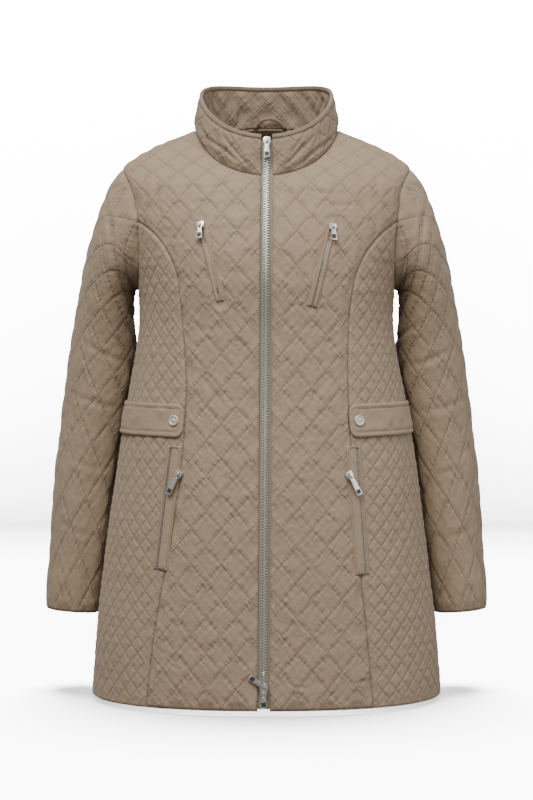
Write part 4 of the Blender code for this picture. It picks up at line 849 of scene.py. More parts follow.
def panel_object(name, panel, materials, inner_step=0.012):
    """One closed panel: quilted outside, plain inside."""
    low, high = panel.flat.min(0), panel.flat.max(0)
    spots = filled(panel.flat, panel.quilt.points(low, high), panel.quilt.edge / panel.quilt.fine * 0.62)
    outer_faces = triangles_of(panel.flat, spots)
    flat = np.concatenate((panel.flat, spots))
    outer = panel.outer(flat)
    x, y = np.meshgrid(np.arange(low[0], high[0], inner_step), np.arange(low[1], high[1], inner_step))
    plain = filled(panel.flat, np.stack((x.ravel(), y.ravel()), -1), inner_step * 0.5)
    inner_faces = triangles_of(panel.flat, plain)
    inner_flat = np.concatenate((panel.flat, plain))
    inner = body_point(*panel.pattern.place(inner_flat[:, 0], inner_flat[:, 1]))
    corner = outer[outer_faces]
    face_normal = np.cross(corner[:, 1] - corner[:, 0], corner[:, 2] - corner[:, 0]).sum(0)
    middle = corner.mean(1).mean(0)
    outwards = np.array((middle[0], middle[1], 0))
    count, total = len(panel.flat), len(outer)
    ring = np.arange(count)
    after = (ring + 1) % count
    area = (panel.flat[ring, 0] * panel.flat[after, 1] - panel.flat[after, 0] * panel.flat[ring, 1]).sum()
    wall = np.stack((ring, after, after + total, ring + total), -1)
    if area > 0:
        wall = wall[:, ::-1]
    if face_normal.dot(outwards) < 0:
        outer_faces, inner_faces, wall = outer_faces[:, ::-1], inner_faces[:, ::-1], wall[:, ::-1]
    faces = outer_faces.tolist() + wall.tolist() + (inner_faces[:, ::-1] + total).tolist()
    patterns = np.concatenate((flat, inner_flat))
    lattices = np.stack(panel.quilt.lattice(patterns[:, 0], patterns[:, 1]), -1)
    return mesh_object(name, np.concatenate((outer, inner)), faces, materials, patterns, lattices,
                       len(outer_faces) + count)


def grid_object(name, outer, inner, closed, materials, patterns, lattices, period=None):
    """A closed shell from two matching grids of points, open or closed round its rows.

    period is the number of cells from one quilting corner to the next, so cells split along stitches.
    """
    rows, columns = outer.shape[:2]
    wide = columns if closed else columns - 1
    r, c = (part.ravel() for part in np.meshgrid(np.arange(rows - 1), np.arange(wide), indexing="ij"))
    right = (c + 1) % columns
    a, b = r * columns + c, r * columns + right
    d, e = a + columns, b + columns
    main = (r + c) % 2 == 0
    if period:
        main = np.where((r - c) % (2 * period) == 0, True, main)
        main = np.where((r + c + 1) % (2 * period) == 0, False, main)
    first = np.where(main[:, None], np.stack((a, b, e), -1), np.stack((a, b, d), -1))
    second = np.where(main[:, None], np.stack((a, e, d), -1), np.stack((b, e, d), -1))
    skin = np.concatenate((first, second))
    total = rows * columns
    loops = []
    if closed:
        ring = np.arange(columns)
        after, last = (ring + 1) % columns, total - columns
        loops = [(ring, after), (after + last, ring + last)]
    else:
        rim = np.concatenate((np.arange(columns), np.arange(1, rows) * columns + columns - 1,
                              (rows - 1) * columns + np.arange(columns - 2, -1, -1),
                              np.arange(rows - 2, 0, -1) * columns))
        loops = [(rim, np.roll(rim, -1))]
    walls = [np.stack((j, i, i + total, j + total), -1) for i, j in loops]
    points = np.concatenate((outer.reshape(-1, 3), inner.reshape(-1, 3)))
    corner = points[skin]
    face_normal = np.cross(corner[:, 1] - corner[:, 0], corner[:, 2] - corner[:, 0])
    away = (points[:total] - points[total:])[skin[:, 0]]
    flip = (face_normal * away).sum() < 0
    quads = np.concatenate(walls)
    if flip:
        skin, quads = skin[:, ::-1], quads[:, ::-1]
    faces = skin.tolist() + quads.tolist() + (skin[:, ::-1] + total).tolist()
    patterns = np.concatenate((patterns.reshape(-1, 2),) * 2)
    lattices = np.concatenate((lattices.reshape(-1, 2),) * 2)
    return mesh_object(name, points, faces, materials, patterns, lattices, len(skin) + len(quads))


# ---------------------------------------------------------------- sleeves and collar
SLEEVE_QUILT = Quilt(0.042, 0.071, 0.0036, 9, 3)
SLEEVE_DIAMONDS = (8, 9)   # round the sleeve, and along it
HEAD_ROWS = 6              # rows of points from the armhole to where the sleeve hangs
COLLAR_QUILT = Quilt(0.040, 0.0393, 0.0027, 8, 4)
COLLAR_HALVES = 3          # half diamonds from the neck seam to the top edge


def grid_normals(points, closed):
    """Directions square to a grid of points, to one side of it all over."""
    if closed:
        around = np.roll(points, -1, axis=1) - np.roll(points, 1, axis=1)
    else:
        around = np.gradient(points, axis=1)
    return unit(np.cross(around, np.gradient(points, axis=0)))


def path_length(positions):
    """Length of a path in metres."""
    return float(np.linalg.norm(np.diff(positions, axis=0), axis=1).sum())


def grid_cut(grid, closed):
    """Greatest width and length of a plain form without its quilting, and its area in square metres."""
    whole = np.concatenate((grid, grid[:, :1]), axis=1) if closed else grid
    around = np.linalg.norm(np.diff(whole, axis=1), axis=2).sum(1).max()
    down = np.linalg.norm(np.diff(whole, axis=0), axis=2).sum(0).max()
    crossed = np.cross(whole[1:, 1:] - whole[:-1, :-1], whole[1:, :-1] - whole[:-1, 1:])
    return (float(around), float(down)), float(np.linalg.norm(crossed, axis=2).sum() / 2)


def sleeve_object(name, side, materials):
    """One sleeve, a quilted tube from the armhole to the open cuff, and its cut."""
    n = SLEEVE_QUILT.fine
    columns, rows = SLEEVE_DIAMONDS[0] * 2 * n, SLEEVE_DIAMONDS[1] * 2 * n + 1
    angle = math.pi + math.tau * np.arange(columns) / columns
    seam = body_point(*armhole_at(side, angle))
    first = sleeve_point(side, 0.0, angle)
    head = [lerp(seam, first, t) for t in np.arange(HEAD_ROWS) / HEAD_ROWS]
    shares = np.linspace(0, 1, rows - HEAD_ROWS)
    grid = np.concatenate((head, sleeve_point(side, shares[:, None], angle[None, :])))
    for _ in range(14):
        grid[1:4 * HEAD_ROWS] = (grid[:4 * HEAD_ROWS - 1] + 2 * grid[1:4 * HEAD_ROWS]
                                 + grid[2:4 * HEAD_ROWS + 1]) / 4
    normal = grid_normals(grid, True)
    centre = grid.mean(1, keepdims=True)
    normal *= math.copysign(1, ((grid - centre) * normal).sum())
    down = np.concatenate((np.zeros((1, columns)),
                           np.cumsum(np.linalg.norm(np.diff(grid, axis=0), axis=2), axis=0)))
    mitre = np.exp(-down / 0.004)[..., None]
    normal = unit(lerp(normal, armhole_normal(side, angle)[None], mitre))
    row, column = np.meshgrid(np.arange(rows), np.arange(columns), indexing="ij")
    half_width, half_height = SLEEVE_QUILT.half
    across, along_it = column / n * half_width, row / n * half_height
    rim = np.minimum(down, down[-1:] - down)
    edge = np.clip(rim / FULL_EDGE, 0, 1)
    thick = rolled_edge(edge)
    soft = smooth_step(0.004, 0.016, rim)
    seam_away = np.minimum(column, columns - column) * 0.0024
    soft = soft * lerp(0.25, 1.0, smooth_step(0.0, 0.010, seam_away))
    thick = thick - 0.0006 * soft + soft * SLEEVE_QUILT.relief(across, along_it)
    thick = thick - 0.0012 * np.exp(-(seam_away / 0.0016) ** 2) * (rim > 0.003)
    thick = thick + 0.0016 * waves(across, along_it * 0.7, 0.055, 31) * smooth_step(0.006, 0.04, rim)
    thick = thick - 0.0007 * np.exp(-((rim - 0.009) / 0.0011) ** 2) * (down > 0.1)
    flat_grid = grid.reshape(-1, 3)
    front = (normal[..., 1] < 0.15).ravel()
    pressed = np.where(front, creased(flat_grid, SLEEVE_CREASES), 0)
    mirrored = flat_grid * np.array((-1, 1, 1)) + np.array((0, 0, 0.013))
    pressed = np.where(normal[..., 1].ravel() > 0.25, creased(mirrored, SLEEVE_CREASES), pressed)
    thick = np.maximum(thick - pressed.reshape(thick.shape), 0.0009)
    patterns = np.stack((across, along_it), -1)
    lattices = np.stack(SLEEVE_QUILT.lattice(across, along_it), -1)
    outer = grid + normal * thick[..., None]
    return grid_object(name, outer, grid, True, materials, patterns, lattices, n), grid_cut(grid, True)


def collar_angles(x):
    """Angle round the neck at x half diamonds from the picture's left end, round the back."""
    first, last = collar_end_angle(-1), collar_end_angle(1) - math.tau
    marks = (first, -math.pi / 2, -math.pi, -1.5 * math.pi, last)
    return np.interp(x, (0, 8, 16, 24, 32), marks)


def collar_object(name, materials):
    """The stand collar, quilted on both faces from one end of the zip round the back, and its cut."""
    n = COLLAR_QUILT.fine
    columns, rows = 32 * n + 1, COLLAR_HALVES * n + 1
    row, column = np.meshgrid(np.arange(rows), np.arange(columns), indexing="ij")
    angle, share = collar_angles(column / n), row / (rows - 1)
    grid = collar_point(angle, share)
    normal = collar_normal(angle, share)
    turn, drop = neck_place(angle[0])
    mitred = unit(body_normal(turn, drop) + collar_normal(angle[0], share[0]))
    normal = unit(lerp(normal, mitred[None], np.exp(-share * COLLAR_RISE / 0.004)[..., None]))
    half_width, half_height = COLLAR_QUILT.half
    across, along_it = column / n * half_width, row / n * half_height
    seam = share * COLLAR_RISE
    end = np.minimum(column, columns - 1 - column) * 0.0026
    rim = np.minimum(seam, end)
    edge = np.sqrt(1 - (1 - np.clip(rim / FULL_EDGE, 0, 1)) ** 2)
    soft = smooth_step(0.003, 0.012, seam) * smooth_step(0.006, 0.016, end)
    soft = soft * smooth_step(0.006, 0.012, (1 - share) * COLLAR_RISE)
    relief = soft * COLLAR_QUILT.relief(across, along_it)
    swell = 0.0014 * waves(across, along_it, 0.05, 41) * soft
    thick = 0.0013 + (COLLAR_WALL - 0.0013) * edge + relief + swell
    thick = thick - 0.0010 * np.exp(-((end - 0.0055) / 0.0011) ** 2)
    front = normal[..., 1] < 0
    flat_grid = grid.reshape(-1, 3)
    pressed = np.where(front, creased(flat_grid, FRONT_CREASES).reshape(front.shape), 0)
    pressed = np.where(~front, creased(flat_grid, BACK_CREASES).reshape(front.shape), pressed)
    thick = np.maximum(thick - pressed, 0.0012)
    behind = np.abs(angle + math.pi) < 0.45
    calm = np.where(behind, smooth_step(0.34, 0.60, share), smooth_step(0.05, 0.25, share))
    inwards = calm * (0.75 * soft * COLLAR_QUILT.relief(across + 0.007, along_it + 0.004)
                      + 0.0012 * waves(across, along_it, 0.028, 44) * soft)
    folded = np.where(~front, creased(flat_grid, COLLAR_FOLDS).reshape(front.shape), 0)
    inwards = np.clip(inwards - folded * calm * 0.7, -0.0016, 0.0022)
    inner = grid - normal * inwards[..., None]
    lattices = np.stack(COLLAR_QUILT.lattice(across, along_it), -1)
    item = grid_object(name, grid + normal * thick[..., None], inner, False, materials,
                       np.stack((across, along_it), -1), lattices, n)
    return item, grid_cut(grid, False)


# ---------------------------------------------------------------- strips laid along a path
def frames_of(positions, normals):
    """Directions across a path and out of the cloth at each of its points."""
    along_it = np.gradient(positions, axis=0)
    across = unit(np.cross(normals, along_it))
    return across, unit(np.cross(along_it, across))


def sweep(name, positions, normals, profile, materials, smooth=True):
    """A closed strip: a profile of (across, out) pairs, or one for each point, carried along a path."""
    across, out = frames_of(positions, normals)
    profile = np.broadcast_to(np.asarray(profile, float), (len(positions), *np.shape(profile)[-2:]))
    points = (positions[:, None] + across[:, None] * profile[..., :1] + out[:, None] * profile[..., 1:])
    rings, size = points.shape[:2]
    r, i = (part.ravel() for part in np.meshgrid(np.arange(rings - 1), np.arange(size), indexing="ij"))
    j = (i + 1) % size
    faces = np.stack((r * size + i, (r + 1) * size + i, (r + 1) * size + j, r * size + j), -1).tolist()
    faces.append(list(range(size)))
    faces.append([rings * size - 1 - k for k in range(size)])
    flat = points.reshape(-1, 3)
    corner = flat[np.array(faces[0])]
    normal = np.cross(corner[1] - corner[0], corner[2] - corner[0])
    if normal.dot(corner.mean(0) - points[:2].mean((0, 1))) < 0:
        faces = [face[::-1] for face in faces]
    lengths = np.concatenate([[0], np.cumsum(np.linalg.norm(np.diff(positions, axis=0), axis=1))])
    patterns = np.stack((profile[..., 0], np.repeat(lengths[:, None], size, 1)), -1).reshape(-1, 2)
    item = mesh_object(name, flat, faces, materials, patterns, patterns / 0.04)
    if not smooth:
        item.data.polygons.foreach_set("use_smooth", np.zeros(len(faces), bool))
    return item


def rounded(left, right, low, high, radius, steps=3):
    """A flat profile with two rounded upper corners."""
    bend = np.linspace(0, math.pi / 2, steps + 1)
    pairs = [(left, low), (right, low)]
    pairs += [(right - radius + radius * math.cos(t), high - radius + radius * math.sin(t)) for t in bend]
    pairs += [(left + radius - radius * math.sin(t), high - radius + radius * math.cos(t)) for t in bend]
    return np.array(pairs)


def zip_path(top_share, bottom_drop, step):
    """Positions and normals of the closing's centre line, down the collar and the body."""
    angle = math.asin(float(centre_line(0)) / NECK_HALF_WIDTH)
    neck = float(neck_place(np.array(angle))[1])
    shares = np.arange(top_share, 0.06, -step / COLLAR_RISE)
    drops = np.arange(neck + 0.004, bottom_drop, step)
    turns = turn_at_x(centre_line(drops), drops)
    positions = np.concatenate((collar_point(angle, shares), body_point(turns, drops)))
    normals = np.concatenate((collar_normal(angle, shares), body_normal(turns, drops)))
    for _ in range(round(0.012 / step) ** 2 + 1):
        positions[1:-1] = (positions[:-2] + 2 * positions[1:-1] + positions[2:]) / 4
        normals[1:-1] = unit(normals[:-2] + 2 * normals[1:-1] + normals[2:])
    return positions, normals


def line_path(line, side, step):
    """Positions and normals on the front along a line between two (distance, drop) points."""
    (x1, drop1), (x2, drop2) = line
    count = max(4, round(math.hypot(x2 - x1, drop2 - drop1) / step))
    t = np.linspace(0, 1, count + 1)
    drops = lerp(drop1, drop2, t)
    turns = side * turn_at_x(lerp(x1, x2, t), drops)
    return body_point(turns, drops), body_normal(turns, drops)


# ---------------------------------------------------------------- sizes of the trimmings
TAPE_TOP_SHARE = 0.88      # height on the collar
TAPE_HEM_GAP = 0.003       # from the tape's lower end to the hem
TAPE_STEP = 0.003
TAPE_WALL = 0.0010
TAPE_SEAT = 0.0019         # behind the inner face of the fronts
CHAIN_TOP_SHARE = 0.93
CHAIN_END_DROP = 0.7682
CHAIN_WIDTH = 0.0090
CHAIN_TOP = 0.0016
TOOTH_PITCH = 0.0038
TOOTH_LIFT = 0.0001        # over the middle of the bar that stands for the chain
TOOTH_LESS = 0.0006        # than that bar's height
POCKET_TOOTH_PITCH = 0.0018
LINE_STEP = 0.0025         # along a pocket's line
WELT_BASE = 0.0033
WELT_WALL = 0.0016
CHEST_WELT_HALF = 0.0078
CHEST_WELT = {-1: ((0.0903, 0.141), (0.0622, 0.252)), 1: ((0.0903, 0.143), (0.0615, 0.259))}
POCKET_WELT_HALF = 0.0110
POCKET_WELT = {-1: ((0.1245, 0.449), (0.1440, 0.619)), 1: ((0.1180, 0.449), (0.1300, 0.625))}
POCKET_SLIT = 0.0055
SLIT_HALF = 0.0012
TAB_SEAM_DROP = 0.4090
TAB_END_DROP = 0.4155
TAB_END_X = 0.1118
TAB_HEIGHT = 0.0465
TAB_CORNER = 0.011
TAB_SEAM_TURN = 0.01
TAB_WALL = 0.0032
TAB_BASE = 0.0042
TAB_ROW_INSET = 0.0066     # from the tab's edge to its row of stitches
TAB_ROW_CORNER = 0.0060
TAB_ROW_SINK = 0.0007      # of the row into the pressed cloth
SNAP_X = 0.1240
SNAP_SHARE = 0.93
SNAP_RADIUS = 0.0078
SNAP_HEIGHT = 0.0020
SNAP_SEAT = 0.0005
BINDING_HEIGHT = 0.0055
BINDING_THICKNESS = 0.0010
FACING_HALF_ANGLE = math.radians(46)
FACING_DEPTH = 0.046
FACING_END_SHARE = 0.4     # of its depth at its two ends
HANGER_LEFT, HANGER_RIGHT = -0.0175, 0.0275
HANGER_HEIGHT = 0.014
HANGER_SEAT = 0.0006
HANGER_STAND = 0.0082
HANGER_WIDTH = 0.0055
HANGER_THICKNESS = 0.0020
BAR_HEIGHT = 0.0041
PULL_THICKNESS = 0.0015
TOP_SLIDER_SHARE = 0.84
TOP_PULL = 0.0240
BOTTOM_SLIDER_DROP = 0.7770
BOTTOM_PULL_UP = 0.0235
BOTTOM_PULL_UP_TURN = math.radians(-125)
BOTTOM_PULL_DOWN = 0.0200
BRIDGE_SHIFT = 0.0044
POCKET_CHAIN_HEIGHT = 0.0012
CHEST_SLIDER_SHARE = 0.06
CHEST_PULL = 0.0200
POCKET_PULL = 0.0300
POCKET_SLIDER = {-1: (0.1180, 0.4885), 1: (0.1110, 0.4895)}
POCKET_PULL_LEAN = 0.545
TOPSTITCH_ROWS = ((5, 0.0055), (3, 0.0020), (3, 0.0085))   # seam of a centre front, distance in from it
STITCH_PITCH = 0.0031
STITCH_LENGTH = 0.0025
THREAD = 0.00042
BAR_TACK_SHARE = 0.62      # of the welt's half width
COLLAR_ROW_INSET = 0.0055
PULLS = ("pull_top", "pull_bottom_side", "pull_bottom_down", "pull_chest_right", "pull_chest_left",
         "pull_pocket_right", "pull_pocket_left")
SLIDERS = ("zip_slider_top", "zip_slider_bottom", "chest_slider_right", "chest_slider_left",
           "pocket_slider_right", "pocket_slider_left")


def side_name(side):
    """The wearer's side."""
    return "right" if side < 0 else "left"


# ---------------------------------------------------------------- materials
def colour_of(code):
    """Linear colour of an sRGB hex code."""
    parts = [int(code[i:i + 2], 16) / 255 for i in (1, 3, 5)]
    return (*[c / 12.92 if c <= 0.04045 else ((c + 0.055) / 1.055) ** 2.4 for c in parts], 1.0)


def node(tree, kind, inputs=None, **settings):
    """Adds a node with its settings; an input is a value or another node's output."""
    item = tree.nodes.new(kind)
    for name, value in settings.items():
        setattr(item, name, value)
    for key, value in (inputs or {}).items():
        if isinstance(value, bpy.types.NodeSocket):
            tree.links.new(value, item.inputs[key])
        else:
            item.inputs[key].default_value = value
    return item


def new_material(name, constants):
    """A material whose Principled shader holds the given constants."""
    material = bpy.data.materials.new(name)
    material.use_nodes = True
    tree = material.node_tree
    tree.nodes.clear()
    shader = node(tree, "ShaderNodeBsdfPrincipled", constants)
    output = node(tree, "ShaderNodeOutputMaterial", {"Surface": shader.outputs[0]})
    output.location = (300, 0)
    return material, tree, shader


def maths(tree, operation, a, b=0.0, c=0.0):
    """One step of arithmetic."""
    return node(tree, "ShaderNodeMath", {0: a, 1: b, 2: c}, operation=operation).outputs[0]


def ramp(tree, value, low, high, start=0.0, end=1.0):
    """Start below low, end above high, and a smooth ramp between."""
    item = node(tree, "ShaderNodeMapRange", {"Value": value, "From Min": low, "From Max": high,
                                             "To Min": start, "To Max": end})
    item.interpolation_type = "SMOOTHSTEP"
    return item.outputs[0]


def noise(tree, vector, scale, detail=2.0, rough=0.5, stretch=(1, 1, 1)):
    """Noise from 0 to 1; scale is in patches a metre."""
    mapped = node(tree, "ShaderNodeMapping", {"Vector": vector, "Scale": [scale * s for s in stretch]})
    return node(tree, "ShaderNodeTexNoise", {"Vector": mapped.outputs[0], "Scale": 1.0, "Detail": detail,
                                             "Roughness": rough}).outputs[0]


def mixed(tree, share, first, second):
    """One colour turning into another by a share."""
    item = node(tree, "ShaderNodeMix", {0: share, 6: first, 7: second}, data_type="RGBA")
    return item.outputs[2]


def stitch_lines(tree, pitch):
    """Distance in metres from the nearest quilting line, and 1 on the stitches of that line."""
    uv = node(tree, "ShaderNodeUVMap", uv_map="lattice").outputs[0]
    split = node(tree, "ShaderNodeSeparateXYZ", {0: uv})
    away, dashes = [], []
    for line, run in ((0, 1), (1, 0)):
        whole = maths(tree, "ROUND", split.outputs[line])
        gap = maths(tree, "ABSOLUTE", maths(tree, "SUBTRACT", split.outputs[line], whole))
        away.append(maths(tree, "MULTIPLY", gap, pitch))
        phase = maths(tree, "FRACT", maths(tree, "MULTIPLY", split.outputs[run], pitch / STITCH_PITCH))
        middle = maths(tree, "ABSOLUTE", maths(tree, "SUBTRACT", phase, 0.5))
        thread = ramp(tree, away[-1], THREAD * 0.5, THREAD * 0.9, 1.0, 0.0)
        dashes.append(maths(tree, "MULTIPLY", thread, ramp(tree, middle, 0.34, 0.44, 1.0, 0.0)))
    return maths(tree, "MINIMUM", *away), maths(tree, "MAXIMUM", *dashes)


def puckers(tree, pitch):
    """Height of the small gathers that stand square to each quilting line."""
    uv = node(tree, "ShaderNodeUVMap", uv_map="lattice").outputs[0]
    split = node(tree, "ShaderNodeSeparateXYZ", {0: uv})
    heights = []
    for number, (line, run) in enumerate(((0, 1), (1, 0))):
        whole = maths(tree, "ROUND", split.outputs[line])
        gap = maths(tree, "ABSOLUTE", maths(tree, "SUBTRACT", split.outputs[line], whole))
        near = ramp(tree, maths(tree, "MULTIPLY", gap, pitch), 0.0004, 0.0120, 1.0, 0.0)
        turned_uv = node(tree, "ShaderNodeCombineXYZ", {0: split.outputs[run], 1: split.outputs[line],
                                                        2: float(number)})
        gathers = noise(tree, turned_uv.outputs[0], pitch, 2.5, 0.55, (230.0, 45.0, 40.0))
        heights.append(maths(tree, "MULTIPLY", near, gathers))
    return maths(tree, "MULTIPLY", maths(tree, "ADD", *heights), 0.0032 * min(1.0, pitch / 0.031) ** 1.3)


def shell_material(name, colour, pitch=0.0, dark=1.0):
    """Real finish: taupe polyester taffeta with a satin face, down-proof, softly creased."""
    material, tree, shader = new_material(name, {
        "Roughness": 0.6, "Sheen Weight": 0.14, "Sheen Roughness": 0.5, "Specular IOR Level": 0.26,
        "Sheen Tint": (1.0, 0.95, 0.88, 1.0)})
    cloth = node(tree, "ShaderNodeTexCoord").outputs["Object"]
    flat = node(tree, "ShaderNodeUVMap", uv_map="pattern").outputs[0]
    patches = noise(tree, cloth, 9.0, 3.0)
    small = noise(tree, cloth, 140.0, 3.0, 0.6)
    base = tuple(channel * dark for channel in colour_of(colour)[:3]) + (1.0,)
    deep = tuple(channel * share for channel, share in zip(base, (0.90, 0.885, 0.86))) + (1.0,)
    tone = mixed(tree, maths(tree, "MULTIPLY", patches, 0.7), base, deep)
    speckle = ramp(tree, small, 0.3, 0.75, 0.0, 0.16)
    tone = mixed(tree, speckle, tone, deep)
    fine = noise(tree, cloth, 420.0, 2.0, 0.6)
    crumple = noise(tree, cloth, 75.0, 3.0, 0.55, (1.0, 1.0, 0.6))
    threads = node(tree, "ShaderNodeTexWave", {"Vector": flat, "Scale": 380.0, "Distortion": 0.4},
                   bands_direction="X").outputs[1]
    picks = node(tree, "ShaderNodeTexWave", {"Vector": flat, "Scale": 300.0, "Distortion": 0.4},
                 bands_direction="Y").outputs[1]
    weave = maths(tree, "MULTIPLY", maths(tree, "ADD", threads, picks), 0.000012)
    height = maths(tree, "ADD", weave, maths(tree, "MULTIPLY", crumple, 0.0024))
    height = maths(tree, "ADD", height, maths(tree, "MULTIPLY", fine, 0.00006))
    if pitch:
        away, dash = stitch_lines(tree, pitch)
        groove = ramp(tree, away, 0.0001, 0.0011, 1.0, 0.0)
        height = maths(tree, "ADD", height, puckers(tree, pitch))
        height = maths(tree, "SUBTRACT", height, maths(tree, "MULTIPLY", groove, 0.0005))
        height = maths(tree, "ADD", height, maths(tree, "MULTIPLY", dash, 0.0003))
        # Painted shade: the colour darkens towards 0.62 of the base in the quilting grooves.
        shaded = tuple(channel * 0.62 for channel in base[:3]) + (1.0,)
        tone = mixed(tree, maths(tree, "MULTIPLY", groove, 0.30), tone, shaded)
        # Painted shade: the quilting stitches are darkened to 0.80 of the cloth, though their thread has the
        # cloth's colour.
        thread = tuple(channel * 0.80 for channel in base[:3]) + (1.0,)
        tone = mixed(tree, maths(tree, "MULTIPLY", dash, 0.7), tone, thread)
    tree.links.new(tone, shader.inputs["Base Color"])
    tree.links.new(ramp(tree, small, 0.2, 0.8, 0.54, 0.68), shader.inputs["Roughness"])
    bump = node(tree, "ShaderNodeBump", {"Height": height, "Strength": 1.0, "Distance": 1.0})
    tree.links.new(bump.outputs[0], shader.inputs["Normal"])
    return material


def woven_material(name, colour, ribs, depth, rough):
    """Real finish: dull woven polyester tape or facing with a fine rib across it."""
    material, tree, shader = new_material(name, {"Roughness": rough, "Sheen Weight": 0.15,
                                                 "Specular IOR Level": 0.3})
    cloth = node(tree, "ShaderNodeTexCoord").outputs["Object"]
    flat = node(tree, "ShaderNodeUVMap", uv_map="pattern").outputs[0]
    base = colour_of(colour)
    deep = tuple(channel * 0.8 for channel in base[:3]) + (1.0,)
    rib = node(tree, "ShaderNodeTexWave", {"Vector": flat, "Scale": ribs, "Distortion": 0.3},
               bands_direction="Y").outputs[1]
    tone = mixed(tree, maths(tree, "MULTIPLY", noise(tree, cloth, 260.0, 3.0), 0.8), base, deep)
    tree.links.new(mixed(tree, maths(tree, "MULTIPLY", rib, 0.25), tone, deep), shader.inputs["Base Color"])
    height = maths(tree, "ADD", maths(tree, "MULTIPLY", rib, depth),
                   maths(tree, "MULTIPLY", noise(tree, cloth, 900.0, 2.0), depth))
    bump = node(tree, "ShaderNodeBump", {"Height": height, "Strength": 1.0, "Distance": 1.0})
    tree.links.new(bump.outputs[0], shader.inputs["Normal"])
    return material


def metal_material(name, colour, rough, metallic=1.0):
    """Real finish: satin nickel plate on die-cast zinc, a little rubbed; with metallic 0 and a near-black
    colour it paints shade in recesses.
    """
    material, tree, shader = new_material(name, {"Metallic": metallic, "Specular IOR Level": 0.5})
    cloth = node(tree, "ShaderNodeTexCoord").outputs["Object"]
    base = colour_of(colour)
    deep = tuple(channel * 0.72 for channel in base[:3]) + (1.0,)
    rubbed = noise(tree, cloth, 320.0, 4.0, 0.6)
    tree.links.new(mixed(tree, rubbed, base, deep), shader.inputs["Base Color"])
    tree.links.new(ramp(tree, noise(tree, cloth, 900.0, 3.0), 0.3, 0.7, rough - 0.07, rough + 0.08),
                   shader.inputs["Roughness"])
    bump = node(tree, "ShaderNodeBump", {"Height": maths(tree, "MULTIPLY", rubbed, 0.00004),
                                         "Strength": 1.0, "Distance": 1.0})
    tree.links.new(bump.outputs[0], shader.inputs["Normal"])
    return material


MATERIALS = {}


def materials_of(settings):
    """Every finish of the coat, made once."""
    if not MATERIALS:
        shell = settings.shell_colour
        pitches = {"large": LARGE_QUILT, "small": SMALL_QUILT, "sleeve": SLEEVE_QUILT, "collar": COLLAR_QUILT}
        for key, quilt in pitches.items():
            # The collar's copy of the taffeta is darkened to 0.82: painted shade.
            dark = 0.82 if key == "collar" else 1.0
            MATERIALS[key] = shell_material(f"quilted_taffeta_{key}", shell, quilt.edge * quilt.sine, dark)
        MATERIALS["plain"] = shell_material("plain_taffeta", shell)
        MATERIALS["edge"] = shell_material("edge_taffeta", shell, dark=0.80)
        MATERIALS["lining"] = shell_material("lining_taffeta", shell, dark=0.86)
        MATERIALS["facing"] = woven_material("facing_twill", settings.facing_colour, 260.0, 0.00006, 0.6)
        MATERIALS["tape"] = woven_material("zip_tape", settings.tape_colour, 230.0, 0.00010, 0.75)
        MATERIALS["thread"] = woven_material("sewing_thread", settings.thread_colour, 900.0, 0.00004, 0.55)
        MATERIALS["teeth"] = metal_material("satin_nickel_teeth", settings.teeth_colour, 0.30, 0.65)
        MATERIALS["nickel"] = metal_material("satin_nickel", settings.metal_colour, 0.30)
        MATERIALS["snap"] = metal_material("snap_lacquer", settings.snap_colour, 0.36, 0.55)
        # Near-black painted shade for the pulls' recesses and for the tape at the bottom of the pocket slits.
        MATERIALS["recess"] = metal_material("recess_painted_shade", settings.recess_colour, 0.42, 0.0)
    return MATERIALS


# ---------------------------------------------------------------- repeats by Geometry Nodes
def block(name, size, bevel, segments=2):
    """A small rounded block about its own middle."""
    bm = bmesh.new()
    bmesh.ops.create_cube(bm, size=1.0)
    bmesh.ops.scale(bm, vec=size, verts=bm.verts)
    bmesh.ops.bevel(bm, geom=list(bm.edges) + list(bm.verts), offset=bevel, segments=segments, profile=0.6,
                    affect="EDGES")
    mesh = bpy.data.meshes.new(name)
    bm.to_mesh(mesh)
    bm.free()
    item = bpy.data.objects.new(name, mesh)
    bpy.context.scene.collection.objects.link(item)
    return item


